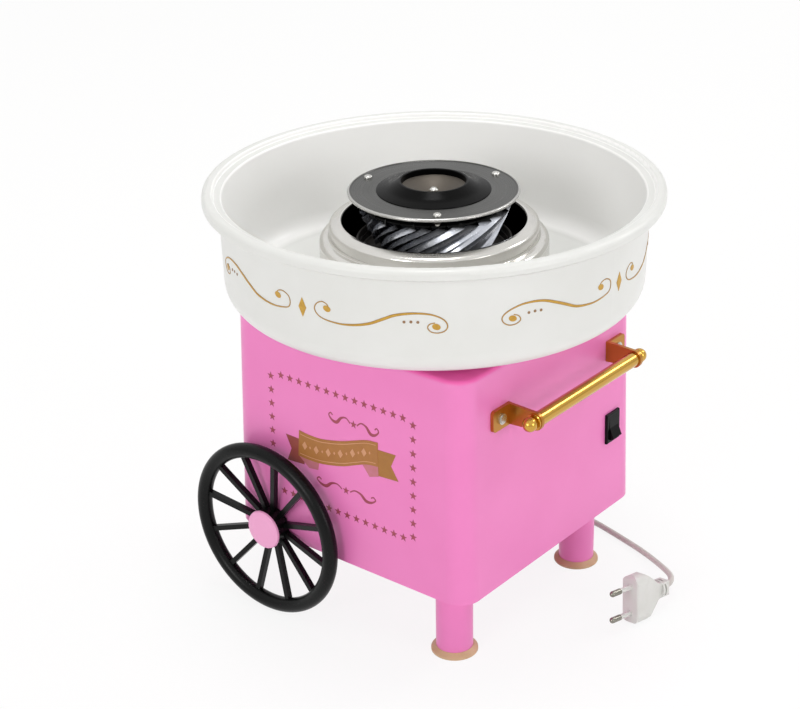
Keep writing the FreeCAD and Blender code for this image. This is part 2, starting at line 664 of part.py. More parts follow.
def make_leg(sign):
    """Front leg with its suction foot: hollow tube with a solid head and a thin floor."""
    low, high = FOOT_HEIGHT, HOUSING_BOTTOM
    leg = cylinder(LEG_RADIUS, low, high)
    leg = leg.cut(cylinder(LEG_RADIUS - LEG_WALL, low + LEG_FLOOR, high - LEG_HEAD))
    pilot = cylinder(LEG_SCREW_RADIUS + SEAT_FIT, high - LEG_SCREW_LENGTH - OVERLAP, high + OVERLAP)
    stem_hole = cylinder(FOOT_STEM_RADIUS + RUBBER_FIT, low - OVERLAP, low + LEG_FLOOR + OVERLAP)
    leg = leg.cut([pilot, stem_hole])
    knob_z = FOOT_HEIGHT + LEG_FLOOR
    inner = FOOT_RADIUS - FOOT_RIM
    foot = turned([(0, FOOT_HOLLOW), (inner - FOOT_RIM, FOOT_HOLLOW * 0.8, 2), (inner, 0),
                   (FOOT_RADIUS, 0), (FOOT_RADIUS, FOOT_LIP, FOOT_LIP / 2),
                   (LEG_RADIUS + BODY_GAP, FOOT_HEIGHT), (FOOT_STEM_RADIUS, FOOT_HEIGHT),
                   (FOOT_STEM_RADIUS, knob_z), (FOOT_KNOB_RADIUS, knob_z),
                   (FOOT_KNOB_RADIUS, knob_z + FOOT_KNOB_HEIGHT * 0.45, 0.8),
                   (FOOT_STEM_RADIUS - 1, knob_z + FOOT_KNOB_HEIGHT, 0.8),
                   (0, knob_z + FOOT_KNOB_HEIGHT)])
    head = cylinder(LEG_SCREW_RADIUS * 2, COVER_TOP, COVER_TOP + LEG_SCREW_HEAD)
    shank = cylinder(LEG_SCREW_RADIUS, high - LEG_SCREW_LENGTH, COVER_TOP + OVERLAP)
    screw = united([head, shank])
    place = Vector(LEG_X, sign * LEG_Y, 0)
    return [shape.translated(place) for shape in (leg, foot, screw)]


def make_legs():
    """Both front legs, their feet and their screws."""
    nodes, screws = {}, []
    for side, sign in SIDES.items():
        leg, foot, screw = make_leg(sign)
        nodes["front_leg_" + side] = leg
        nodes["suction_foot_" + side] = foot
        screws.append(screw)
    nodes["leg_screws"] = group(screws)
    return nodes


def make_wheels():
    """Spoked wheels, hub caps, stub axles and the clips that keep the wheels on."""
    nodes, axles, clips = {}, [], []
    wall = half_at(WHEEL_RADIUS)
    hub_start = wall + AXLE_PAD_HEIGHT + BODY_GAP
    hub_end = hub_start + HUB_LENGTH
    rim_plane = wall + WHEEL_STANDOFF
    pocket = hub_end - HUB_POCKET_DEPTH
    rim_radius = WHEEL_RADIUS - TYRE_RADIUS
    spoke_start = Vector(HUB_RADIUS - 2, 0, rim_plane - SPOKE_DISH)
    spoke_line = Vector(rim_radius, 0, rim_plane) - spoke_start
    spoke = block((0, -SPOKE_WIDTH / 2, -SPOKE_THICKNESS / 2),
                  (spoke_line.Length, SPOKE_WIDTH / 2, SPOKE_THICKNESS / 2))
    spoke.Placement = Placement(spoke_start, Rotation(Vector(1, 0, 0), spoke_line))
    parts = [Part.makeTorus(rim_radius, TYRE_RADIUS, Vector(0, 0, rim_plane))]
    parts.append(cylinder(HUB_RADIUS, hub_start, hub_end))
    for index in range(SPOKE_COUNT):
        angle = SPOKE_PHASE + index * 360.0 / SPOKE_COUNT
        parts.append(spoke.rotated(Vector(0, 0, 0), Vector(0, 0, 1), angle))
    wheel = united(parts)
    wheel = wheel.cut([cylinder(AXLE_RADIUS + RUNNING_FIT, hub_start - OVERLAP, hub_end + OVERLAP),
                       cylinder(HUB_POCKET_RADIUS, pocket, hub_end + OVERLAP)])
    clip_low = pocket + BODY_GAP
    clip_high = clip_low + CLIP_THICKNESS
    spigot_low = hub_end - HUB_CAP_SPIGOT
    cap_top = hub_end + HUB_CAP_HEIGHT
    spigot_inner = HUB_POCKET_RADIUS - HUB_CAP_SPIGOT_WALL
    cap = turned([(0, hub_end), (spigot_inner, hub_end), (spigot_inner, spigot_low),
                  (HUB_POCKET_RADIUS - SEAT_FIT, spigot_low),
                  (HUB_POCKET_RADIUS - SEAT_FIT, hub_end), (HUB_CAP_RADIUS, hub_end),
                  (HUB_CAP_RADIUS - 0.4, cap_top - 0.7, 0.8), (HUB_CAP_RADIUS * 0.62, cap_top, 4),
                  (0, cap_top)])
    axle = united([cylinder(AXLE_RADIUS, wall - AXLE_BOSS_DEPTH - OVERLAP, clip_high + AXLE_END),
                   cylinder(AXLE_HEAD_RADIUS, wall - AXLE_BOSS_DEPTH - AXLE_HEAD_THICKNESS,
                            wall - AXLE_BOSS_DEPTH)])
    clip = ring(CLIP_RADIUS, AXLE_RADIUS, clip_low, clip_high)
    for side, sign in SIDES.items():
        nodes["wheel_" + side] = at_wheel(wheel, sign)
        nodes["hub_cap_" + side] = at_wheel(cap, sign)
        axles.append(at_wheel(axle, sign))
        clips.append(at_wheel(clip, sign))
    nodes["wheel_axles"] = group(axles)
    nodes["axle_clips"] = group(clips)
    return nodes


# ---------------------------------------------------------------- bowl and collar
def make_bowl():
    """White bowl: flat floor with a hole round the collar, upright wall, rolled lip."""
    low, crest = BOWL_BOTTOM, BOWL_BOTTOM + BOWL_HEIGHT
    hole = COLLAR_RADIUS + BOWL_HOLE_GAP
    floor = low + BOWL_SHEET
    under = crest - LIP_DROP
    ledge = crest - LEDGE_DROP
    crest_inner = BOWL_RADIUS - LIP_CREST_WIDTH
    inner_top = BOWL_WALL_TOP_RADIUS - BOWL_SHEET
    inner_bottom = BOWL_WALL_BOTTOM_RADIUS - BOWL_SHEET
    shape = turned([(hole, low), (BOWL_WALL_BOTTOM_RADIUS, low, BOWL_CORNER),
                    (BOWL_WALL_TOP_RADIUS, under, 3.0), (BOWL_RADIUS, under, 1.4),
                    (BOWL_RADIUS, crest, 3.2), (crest_inner, crest, 1.6),
                    (crest_inner - 0.3, ledge, 0.8), (crest_inner - LEDGE_WIDTH, ledge - 0.2),
                    (inner_top, ledge - 0.3, 1.6), (inner_bottom, floor, BOWL_CORNER - BOWL_SHEET),
                    (hole, floor)])
    return {"bowl": shape}


def make_collar():
    """Polished collar: upright wall, shoulder, groove, raised band and rolled mouth."""
    foot = PAN_TOP
    top = COLLAR_TOP
    sheet = COLLAR_SHEET
    shoulder = foot + COLLAR_SHOULDER_HEIGHT
    band = COLLAR_BAND_RADIUS
    band_top = top - COLLAR_LIP_DROP + 0.8
    mouth = COLLAR_MOUTH_RADIUS
    shape = turned([(COLLAR_RADIUS - COLLAR_FOOT_WIDTH, foot), (COLLAR_RADIUS, foot),
                    (COLLAR_RADIUS, shoulder, 4.0), (band + 0.5, shoulder + 0.8, 0.5),
                    (band, shoulder + COLLAR_BAND_STEP, 0.3), (band, band_top, 3.0),
                    (mouth + 2.2, top, 0.9), (mouth, top, 0.9), (mouth, top - COLLAR_MOUTH_SKIRT),
                    (mouth + sheet, top - COLLAR_MOUTH_SKIRT), (mouth + sheet, top - sheet, 0.3),
                    (mouth + 2.4, top - sheet - 0.2), (band - sheet, band_top - sheet, 2.0),
                    (band - sheet, shoulder - 0.6), (COLLAR_RADIUS - sheet, shoulder - sheet, 3.0),
                    (COLLAR_RADIUS - sheet, foot + sheet),
                    (COLLAR_RADIUS - COLLAR_FOOT_WIDTH, foot + sheet)])
    holes, screws = [], []
    for angle in even_angles(90):
        x, y = on_circle(COLLAR_SCREW_CIRCLE, angle)
        hole = COLLAR_SCREW_RADIUS + SCREW_CLEARANCE
        holes.append(cylinder(hole, foot - OVERLAP, foot + sheet + OVERLAP, x, y))
        head_top = foot + sheet + COLLAR_SCREW_HEAD
        head = cylinder(COLLAR_SCREW_RADIUS * 2, foot + sheet, head_top, x, y)
        low = foot + sheet - COLLAR_SCREW_LENGTH
        shank = cylinder(COLLAR_SCREW_RADIUS, low, head_top - 0.5, x, y)
        screws.append(united([head, shank]))
    return {"collar": shape.cut(holes), "collar_screws": group(screws)}


def make_heater():
    """Heat pan, sheathed ring element, its posts and bushings, and the thermal cutout."""
    pan = turned([(PAN_HOLE_RADIUS, PAN_BOTTOM), (PAN_RADIUS, PAN_BOTTOM), (PAN_RADIUS, PAN_TOP),
                  (PAN_HOLE_RADIUS + PAN_SHEET, PAN_TOP),
                  (PAN_HOLE_RADIUS + PAN_SHEET, PAN_TOP + PAN_NECK_HEIGHT),
                  (PAN_HOLE_RADIUS, PAN_TOP + PAN_NECK_HEIGHT)])
    cuts = []
    for angle in even_angles(90):
        x, y = on_circle(COLLAR_SCREW_CIRCLE, angle)
        hole = COLLAR_SCREW_RADIUS + SCREW_CLEARANCE
        cuts.append(cylinder(hole, PAN_BOTTOM - OVERLAP, PAN_TOP + OVERLAP, x, y))
    centre = PAN_TOP + HEATER_HEIGHT
    half_gap = HEATER_GAP_ANGLE / 2
    loop = Part.makeTorus(HEATER_CIRCLE, HEATER_TUBE_RADIUS, Vector(0, 0, centre),
                          Vector(0, 0, 1), 0, 360, 360 - HEATER_GAP_ANGLE)
    loop = loop.rotated(Vector(0, 0, 0), Vector(0, 0, 1), HEATER_GAP_DIRECTION + half_gap)
    pieces, bushings = [loop], []
    for x, y in heater_leg_places():
        pieces.append(Part.makeSphere(HEATER_TUBE_RADIUS, Vector(x, y, centre)))
        pieces.append(cylinder(HEATER_TUBE_RADIUS, centre - HEATER_LEG_LENGTH, centre, x, y))
        low = PAN_BOTTOM - BUSHING_DROP
        flange_top = PAN_TOP + BUSHING_FLANGE
        flange = cylinder(BUSHING_RADIUS + BUSHING_FLANGE, PAN_TOP, flange_top, x, y)
        sleeve = united([cylinder(BUSHING_RADIUS, low, low + BUSHING_HEIGHT, x, y), flange])
        bore_top = low + BUSHING_HEIGHT + OVERLAP
        bore = cylinder(HEATER_TUBE_RADIUS + SEAT_FIT, low - OVERLAP, bore_top, x, y)
        bushings.append(sleeve.cut(bore))
        cuts.append(cylinder(BUSHING_RADIUS + SEAT_FIT, PAN_BOTTOM - OVERLAP, PAN_TOP + OVERLAP, x, y))
    saddle = Part.makeTorus(HEATER_CIRCLE, HEATER_TUBE_RADIUS + SEAT_FIT, Vector(0, 0, centre))
    posts = []
    for angle in POST_ANGLES:
        x, y = on_circle(HEATER_CIRCLE, angle)
        posts.append(cylinder(POST_RADIUS, PAN_TOP, centre - 0.5, x, y).cut(saddle))
    x, y = on_circle(CUTOUT_CIRCLE, CUTOUT_ANGLE)
    cutout_low = PAN_BOTTOM - CUTOUT_HEIGHT
    half_w, half_t = CUTOUT_TAB_WIDTH / 2, CUTOUT_TAB_THICKNESS / 2
    cutout = united([cylinder(CUTOUT_RADIUS, cutout_low, PAN_BOTTOM, x, y),
                     block((x - half_w, y - half_t, cutout_low - CUTOUT_TAB_LENGTH),
                           (x + half_w, y + half_t, cutout_low + OVERLAP))])
    return {"heat_pan": pan.cut(cuts), "heating_element": united(pieces),
            "heater_posts": group(posts), "heater_bushings": group(bushings),
            "thermal_cutout": cutout}


# ---------------------------------------------------------------- spinning head
def make_head():
    """Everything above the collar mouth that spins: disc, funnel, dish, louvres and screws."""
    nodes = {}
    bead = Part.makeTorus(DISC_RADIUS - DISC_BEAD_RADIUS, DISC_BEAD_RADIUS,
                          Vector(0, 0, DISC_Z + DISC_THICKNESS / 2))
    plate = ring(DISC_RADIUS - DISC_BEAD_RADIUS, DISC_HOLE_RADIUS, DISC_Z, DISC_TOP)
    disc = united([plate, bead])
    rim = DISC_TOP + FUNNEL_HEIGHT
    bore = FUNNEL_BORE_RADIUS
    funnel = turned([(bore, DISC_TOP), (bore + 2, DISC_TOP), (bore + 2, DISC_TOP + 3, 0.5),
                     (FUNNEL_BASE_RADIUS - 6, DISC_TOP + 0.8), (FUNNEL_BASE_RADIUS - 3, DISC_TOP),
                     (FUNNEL_BASE_RADIUS, DISC_TOP), (FUNNEL_BASE_RADIUS - 0.2, DISC_TOP + 0.5, 0.2),
                     (FUNNEL_KNEE_RADIUS, DISC_TOP + FUNNEL_KNEE_HEIGHT, FUNNEL_FLANK_ROUND),
                     (FUNNEL_TOP_RADIUS, rim, 0.8), (bore, rim, 0.5)])
    dish_rim = rim - DISH_DROP
    stud_hole = SHAFT_STUD_RADIUS + SEAT_FIT
    dish_floor = dish_rim - DISH_DEPTH
    slope = (DISH_RADIUS - DISH_FLOOR_RADIUS) / DISH_DEPTH
    dish = turned([(stud_hole, dish_floor), (DISH_FLOOR_RADIUS, dish_floor, 1.0),
                   (DISH_RADIUS, dish_rim), (DISH_RADIUS, dish_rim - DISH_SHEET),
                   (DISH_FLOOR_RADIUS + slope * 0.4, dish_floor - DISH_SHEET, 1.0),
                   (stud_hole, dish_floor - DISH_SHEET)])
    flange_low = DISC_Z - SPINNER_SHEET
    inner = LOUVRE_RADIUS - SPINNER_SHEET
    neck_inner = LOUVRE_NECK_RADIUS - SPINNER_SHEET
    foot_top = SPINNER_Z + SPINNER_RIM_HEIGHT
    shoulder = DISC_Z - LOUVRE_NECK_HEIGHT
    shoulder_low = shoulder - SPINNER_SHEET
    louvres = turned([(inner, SPINNER_Z), (LOUVRE_RADIUS, SPINNER_Z), (LOUVRE_RADIUS, foot_top),
                      (LOUVRE_TOP_RADIUS, shoulder, 0.8), (LOUVRE_NECK_RADIUS, shoulder),
                      (LOUVRE_NECK_RADIUS, flange_low), (LOUVRE_FLANGE_RADIUS, flange_low),
                      (LOUVRE_FLANGE_RADIUS, DISC_Z), (neck_inner, DISC_Z),
                      (neck_inner, shoulder_low), (LOUVRE_TOP_RADIUS - SPINNER_SHEET, shoulder_low),
                      (inner, foot_top)])
    slot_low, slot_high = foot_top + LOUVRE_BAND, shoulder_low - LOUVRE_BAND
    band = ring(LOUVRE_RADIUS + OVERLAP, LOUVRE_NECK_RADIUS, slot_low, slot_high)
    reach = SPINNER_DEPTH
    slot = block((0, -reach, -LOUVRE_SLOT / 2), (LOUVRE_RADIUS + OVERLAP, reach, LOUVRE_SLOT / 2))
    slot = slot.rotated(Vector(0, 0, 0), Vector(1, 0, 0), LOUVRE_SLANT)
    slot = slot.translated(Vector(0, 0, (slot_low + slot_high) / 2)).common(band)
    slots = [slot.rotated(Vector(0, 0, 0), Vector(0, 0, 1), 360.0 / LOUVRE_COUNT * index)
             for index in range(LOUVRE_COUNT)]
    screw_holes, screws, nuts = [], [], []
    for angle in even_angles(HEAD_SCREW_PHASE):
        x, y = on_circle(HEAD_SCREW_CIRCLE, angle)
        hole = HEAD_SCREW_RADIUS + SCREW_CLEARANCE
        screw_holes.append(cylinder(hole, flange_low - OVERLAP, DISC_TOP + OVERLAP, x, y))
        screw_top = DISC_TOP + HEAD_SCREW_HEAD_HEIGHT
        head = turned([(0, DISC_TOP), (HEAD_SCREW_HEAD_RADIUS, DISC_TOP),
                       (HEAD_SCREW_HEAD_RADIUS, screw_top, 1.3), (0, screw_top)])
        low = DISC_TOP - HEAD_SCREW_LENGTH
        shank = cylinder(HEAD_SCREW_RADIUS, low, DISC_TOP + 0.8)
        screws.append(united([head, shank]).translated(Vector(x, y, 0)))
        nut = hexagon(LOCK_NUT_RADIUS, flange_low - LOCK_NUT_HEIGHT, flange_low, x, y)
        nuts.append(nut.cut(cylinder(HEAD_SCREW_RADIUS + SEAT_FIT, low, DISC_TOP, x, y)))
    nodes["head_disc"] = disc.cut(screw_holes)
    nodes["sugar_funnel"] = funnel
    nodes["sugar_dish"] = dish
    nodes["louvre_ring"] = louvres.cut(slots + screw_holes)
    nodes["head_screws"] = group(screws)
    nodes["head_lock_nuts"] = group(nuts)
    nut_top = dish_floor + SPINNER_NUT_HEIGHT
    crown = turned([(0, dish_floor), (SPINNER_NUT_RADIUS, dish_floor),
                    (SPINNER_NUT_RADIUS, nut_top - 1.2, 0.6), (SPINNER_NUT_RADIUS * 0.5, nut_top, 1.0),
                    (0, nut_top)])
    crown = crown.common(hexagon(SPINNER_NUT_RADIUS * 1.1, dish_floor, nut_top))
    shaft_top = nut_top - 1.4
    nodes["spinner_nut"] = crown.cut(cylinder(stud_hole, dish_floor - OVERLAP, shaft_top))
    hub = SPINNER_HUB_RADIUS
    top_of_pan = SPINNER_Z + SPINNER_SHEET
    hub_low = SPINNER_Z - SPINNER_HUB_DROP
    hub_high = hub_low + SPINNER_HUB_HEIGHT
    rim_outer = inner - SEAT_FIT
    rim_inner = rim_outer - SPINNER_SHEET
    nodes["spinner_pan"] = turned([(SHAFT_RADIUS + SEAT_FIT, hub_low), (hub, hub_low),
                                   (hub, SPINNER_Z), (rim_outer, SPINNER_Z),
                                   (rim_outer, foot_top), (rim_inner, foot_top),
                                   (rim_inner, top_of_pan, 1.0), (hub, top_of_pan),
                                   (hub, hub_high), (SHAFT_RADIUS + SEAT_FIT, hub_high)])
    collar_low = dish_floor - DISH_SHEET - SHAFT_COLLAR_HEIGHT
    shaft_bottom = MOTOR_BOTTOM_Z - MOTOR_CAP_HEIGHT - BEARING_BOSS_HEIGHT - SHAFT_TAIL
    shaft = united([cylinder(SHAFT_RADIUS, shaft_bottom, collar_low + OVERLAP),
                    cylinder(SHAFT_STUD_RADIUS, collar_low, shaft_top - BODY_GAP),
                    cylinder(SHAFT_COLLAR_RADIUS, collar_low, dish_floor - DISH_SHEET),
                    cylinder(SHAFT_COLLAR_RADIUS, hub_low - SHAFT_STOP_HEIGHT, hub_low)])
    nodes["rotor_shaft"] = shaft
    armature_low = MOTOR_BOTTOM_Z + ARMATURE_LOW
    winding = ARMATURE_RADIUS - ARMATURE_WINDING
    armature_high = armature_low + ARMATURE_HEIGHT
    armature = united([cylinder(ARMATURE_RADIUS, armature_low, armature_high),
                       cylinder(winding, armature_low - 2, armature_high + 3),
                       cylinder(COMMUTATOR_RADIUS, armature_low - COMMUTATOR_HEIGHT, armature_low)])
    half_slot = ARMATURE_SLOT_WIDTH / 2
    slot = block((ARMATURE_RADIUS - ARMATURE_SLOT_DEPTH, -half_slot, armature_low - OVERLAP),
                 (ARMATURE_RADIUS + OVERLAP, half_slot, armature_high + OVERLAP))
    slots = [slot.rotated(Vector(0, 0, 0), Vector(0, 0, 1), angle)
             for angle in even_angles(0, ARMATURE_SLOTS)]
    bore_cut = cylinder(SHAFT_RADIUS + SEAT_FIT, MOTOR_BOTTOM_Z - OVERLAP, MOTOR_TOP_Z)
    nodes["motor_armature"] = armature.cut(slots + [bore_cut])
    return nodes


# ---------------------------------------------------------------- motor
def make_motor():
    """Motor can with magnets and end cap, hung on rubber bushes from a bracket."""
    bore = SHAFT_RADIUS + RUNNING_FIT
    low, high = MOTOR_BOTTOM_Z, MOTOR_TOP_Z
    inner = MOTOR_RADIUS - MOTOR_SHEET
    boss_top = high + BEARING_BOSS_HEIGHT
    can = turned([(bore, high - MOTOR_TOP), (inner, high - MOTOR_TOP), (inner, low),
                  (MOTOR_RADIUS, low), (MOTOR_RADIUS, high, 2.0), (BEARING_BOSS_RADIUS, high),
                  (BEARING_BOSS_RADIUS, boss_top, 0.8), (bore, boss_top)])
    cap_low = low - MOTOR_CAP_HEIGHT
    boss_low = cap_low - BEARING_BOSS_HEIGHT
    cap = turned([(bore, boss_low), (BEARING_BOSS_RADIUS, boss_low, 0.8),
                  (BEARING_BOSS_RADIUS, cap_low), (MOTOR_RADIUS, cap_low, 2.0), (MOTOR_RADIUS, low),
                  (inner - 0.1, low), (inner - 0.1, low + 1), (inner - 2, low + 1),
                  (inner - 2, cap_low + 2.5, 1.0), (bore + 3, cap_low + 2.5, 1.0),
                  (bore + 3, low), (bore, low)])
    magnet_outer = inner - SEAT_FIT
    magnet_ring = ring(magnet_outer, magnet_outer - MAGNET_THICKNESS,
                       low + MAGNET_LOW, high - MOTOR_TOP - MAGNET_HIGH)
    wedge = Part.makeCylinder(MOTOR_RADIUS, MOTOR_HEIGHT, Vector(0, 0, low), Vector(0, 0, 1),
                              MAGNET_ANGLE)
    magnets = [magnet_ring.common(wedge.rotated(Vector(0, 0, 0), Vector(0, 0, 1), start))
               for start in (-MAGNET_ANGLE / 2, 180 - MAGNET_ANGLE / 2)]
    plate = block((-BRACKET_LENGTH / 2, -BRACKET_WIDTH / 2, high),
                  (BRACKET_LENGTH / 2, BRACKET_WIDTH / 2, high + BRACKET_THICKNESS))
    upright = [edge for edge in plate.Edges if edge.BoundBox.ZLength > BRACKET_THICKNESS / 2]
    plate = plate.makeFillet(BRACKET_CORNER, upright)
    plate_top = high + BRACKET_THICKNESS
    cuts = [cylinder(BEARING_BOSS_RADIUS + RUBBER_FIT, high - OVERLAP, plate_top + OVERLAP)]
    can_holes, motor_screws, bushes, mount_screws = [], [], [], []
    for sign in (1, -1):
        y = sign * MOTOR_SCREW_CIRCLE
        radius = MOTOR_SCREW_RADIUS
        cuts.append(cylinder(radius + SCREW_CLEARANCE, high - OVERLAP, plate_top + OVERLAP, 0, y))
        can_holes.append(cylinder(radius + SEAT_FIT, high - MOTOR_TOP - OVERLAP, high + OVERLAP, 0, y))
        head = cylinder(radius * 1.9, plate_top, plate_top + MOTOR_SCREW_HEAD, 0, y)
        shank = cylinder(radius, high - MOTOR_TOP, plate_top + OVERLAP, 0, y)
        motor_screws.append(united([head, shank]))
    bush_top = plate_top + BUSH_HEIGHT
    for x, y in corner_places(MOUNT_X, MOUNT_Y):
        radius = MOUNT_SCREW_RADIUS
        cuts.append(cylinder(radius + SCREW_CLEARANCE, high - OVERLAP, plate_top + OVERLAP, x, y))
        bushes.append(ring(BUSH_RADIUS, radius + SCREW_CLEARANCE, plate_top, bush_top, x, y))
        head = cylinder(radius * 2, high - MOUNT_SCREW_HEAD, high, x, y)
        shank = cylinder(radius, high - OVERLAP, high + MOUNT_SCREW_LENGTH, x, y)
        mount_screws.append(united([head, shank]))
    return {"motor_can": can.cut(can_holes), "motor_end_cap": cap, "motor_magnets": group(magnets),
            "motor_bracket": plate.cut(cuts), "motor_bushes": group(bushes),
            "motor_screws": group(motor_screws + mount_screws)}


# ---------------------------------------------------------------- handle and switch
def bracket_screw_place(sign):
    """Y of the screw in a handle bracket's plate."""
    return HANDLE_CENTRE + sign * (HANDLE_HALF + (PLATE_LENGTH - PLATE_THICKNESS) / 2)


def make_handle():
    """Brass bar between two angle brackets, held by ball nuts on its threaded ends."""
    nodes, screws, nuts = {}, [], []
    half_height = PLATE_HEIGHT / 2
    inner = HANDLE_HALF - PLATE_THICKNESS

    def placed(shape):
        return on_face(shape, "+X", HANDLE_CENTRE, HANDLE_HEIGHT)

    def mirrored(shape, sign):
        return shape if sign > 0 else shape.mirror(Vector(0, 0, 0), Vector(0, 1, 0))

    plate = block((0, inner, -half_height), (PLATE_THICKNESS, inner + PLATE_LENGTH, half_height))
    outer_edges = [edge for edge in plate.Edges
                   if edge.BoundBox.YMin > inner + 1 and edge.BoundBox.XLength > 1]
    plate = plate.makeFillet(PLATE_CORNER, outer_edges)
    tip = HANDLE_REACH + ARM_END_RADIUS
    arm = Part.Face(closed_wire([(0, inner, -half_height), (0, inner, half_height),
                                 (tip, inner, ARM_END_RADIUS, ARM_END_RADIUS),
                                 (tip, inner, -ARM_END_RADIUS, ARM_END_RADIUS)]))
    bracket = united([plate, arm.extrude(Vector(0, PLATE_THICKNESS, 0))])
    drill_y = HANDLE_HALF + (PLATE_LENGTH - PLATE_THICKNESS) / 2
    stud_hole = STUD_RADIUS + SEAT_FIT
    bracket = bracket.cut([along_y(stud_hole, inner - OVERLAP, HANDLE_HALF + OVERLAP, HANDLE_REACH),
                           along_x(BRACKET_SCREW_RADIUS + SCREW_CLEARANCE, -OVERLAP,
                                   PLATE_THICKNESS + OVERLAP, drill_y)])
    ball_y = HANDLE_HALF + BALL_OFFSET
    nut = united([Part.makeSphere(BALL_RADIUS, Vector(HANDLE_REACH, ball_y, 0)),
                  along_y(BALL_COLLAR_RADIUS, HANDLE_HALF, HANDLE_HALF + BALL_COLLAR_LENGTH,
                          HANDLE_REACH),
                  along_y(BALL_RADIUS * 0.72, HANDLE_HALF, ball_y, HANDLE_REACH)])
    side = HANDLE_REACH + BALL_COLLAR_RADIUS + OVERLAP
    far = ball_y + BALL_RADIUS + OVERLAP
    nut = nut.common(block((0, HANDLE_HALF, -side), (side, far, side)))
    stud_end = HANDLE_HALF + STUD_LENGTH
    nut = nut.cut(along_y(stud_hole, HANDLE_HALF - OVERLAP, stud_end + BODY_GAP, HANDLE_REACH))
    head = united([along_x(BRACKET_SCREW_HEAD_RADIUS, PLATE_THICKNESS, PLATE_THICKNESS + 1.2,
                           drill_y),
                   along_x(BRACKET_SCREW_HEAD_RADIUS - 0.8, PLATE_THICKNESS,
                           PLATE_THICKNESS + 1.9, drill_y)])
    shank_low = PLATE_THICKNESS - BRACKET_SCREW_LENGTH
    shank = along_x(BRACKET_SCREW_RADIUS, shank_low, PLATE_THICKNESS + 0.5, drill_y)
    screw = united([head, shank])
    inner_face = -HOUSING_WALL * math.cos(math.radians(DRAFT))
    hex_nut = hexagon(BRACKET_NUT_RADIUS, 0, BRACKET_NUT_HEIGHT)
    thread = BRACKET_SCREW_RADIUS + SEAT_FIT
    hex_nut = hex_nut.cut(cylinder(thread, -OVERLAP, BRACKET_NUT_HEIGHT + OVERLAP))
    hex_nut = hex_nut.rotated(Vector(0, 0, 0), Vector(0, 1, 0), -90)
    hex_nut = hex_nut.translated(Vector(inner_face, drill_y, 0))
    for side, sign in SIDES.items():
        nodes["handle_bracket_" + side] = placed(mirrored(bracket, sign))
        nodes["cap_nut_" + side] = placed(mirrored(nut, sign))
        screws.append(placed(mirrored(screw, sign)))
        nuts.append(placed(mirrored(hex_nut, sign)))
    bar = united([along_y(BAR_RADIUS, -inner, inner, HANDLE_REACH),
                  along_y(STUD_RADIUS, -stud_end, stud_end, HANDLE_REACH)])
    nodes["handle_bar"] = placed(bar)
    nodes["bracket_screws"] = group(screws)
    nodes["bracket_nuts"] = group(nuts)
    return nodes


def rocker_outline(radius, edge_angle, valley, back):
    """Side view of the rocker about its pivot at (0, 0), in the X-Z plane."""
    edge = math.radians(edge_angle)
    heel = math.asin(back / radius)
    upper = Vector(radius * math.sin(edge), 0, radius * math.cos(edge))
    lower = Vector(upper.x, 0, -upper.z)
    upper_heel = Vector(-back, 0, radius * math.cos(heel))
    lower_heel = Vector(-back, 0, -upper_heel.z)
    return Part.Wire([Part.LineSegment(lower, Vector(valley, 0, 0)).toShape(),
                      Part.LineSegment(Vector(valley, 0, 0), upper).toShape(),
                      Part.Arc(upper, Vector(0, 0, radius), upper_heel).toShape(),
                      Part.LineSegment(upper_heel, lower_heel).toShape(),
                      Part.Arc(lower_heel, Vector(0, 0, -radius), lower).toShape()])


def make_switch():
    """Rocker switch: body with its bezel and cavity, the rocker on its pins, two blades."""
    half_w, half_h = SWITCH_BODY_WIDTH / 2, SWITCH_BODY_HEIGHT / 2
    bezel = block((0, -BEZEL_WIDTH / 2, -BEZEL_HEIGHT / 2),
                  (BEZEL_DEPTH, BEZEL_WIDTH / 2, BEZEL_HEIGHT / 2))
    front = [edge for edge in bezel.Edges if edge.BoundBox.XMin > BEZEL_DEPTH / 2]
    bezel = bezel.makeFillet(BEZEL_EDGE, front)
    body = united([bezel, block((-SWITCH_BODY_DEPTH, -half_w, -half_h), (0.5, half_w, half_h))])
    cavity_half = ROCKER_WIDTH / 2 + 2 * RUNNING_FIT
    cavity = along_y(ROCKER_RADIUS + RUNNING_FIT, -cavity_half, cavity_half)
    deep = block((-ROCKER_BACK - BACK_ROOM, -cavity_half, -ROCKER_RADIUS - OVERLAP),
                 (ROCKER_RADIUS + OVERLAP, cavity_half, ROCKER_RADIUS + OVERLAP))
    pin_end = cavity_half + ROCKER_PIN_BEARING
    body = body.cut([cavity.common(deep),
                     along_y(ROCKER_PIN_RADIUS + RUNNING_FIT, -pin_end - 0.1, pin_end + 0.1)])
    rocker = Part.Face(rocker_outline(ROCKER_RADIUS, ROCKER_EDGE_ANGLE, ROCKER_VALLEY, ROCKER_BACK))
    rocker = rocker.extrude(Vector(0, ROCKER_WIDTH, 0)).translated(Vector(0, -ROCKER_WIDTH / 2, 0))
    rocker = united([rocker, along_y(ROCKER_PIN_RADIUS, -pin_end, pin_end)])
    rocker = rocker.rotated(Vector(0, 0, 0), Vector(0, 1, 0), -ROCKER_TILT)
    blades = []
    for z in BLADE_HEIGHTS:
        blades.append(block((-SWITCH_BODY_DEPTH - BLADE_LENGTH, -BLADE_WIDTH / 2,
                             z - BLADE_THICKNESS / 2),
                            (-SWITCH_BODY_DEPTH, BLADE_WIDTH / 2, z + BLADE_THICKNESS / 2)))
    place = ("+X", SWITCH_Y, SWITCH_HEIGHT)
    return {"switch_body": on_face(body, *place), "rocker": on_face(rocker, *place),
            "switch_terminals": on_face(group(blades), *place)}


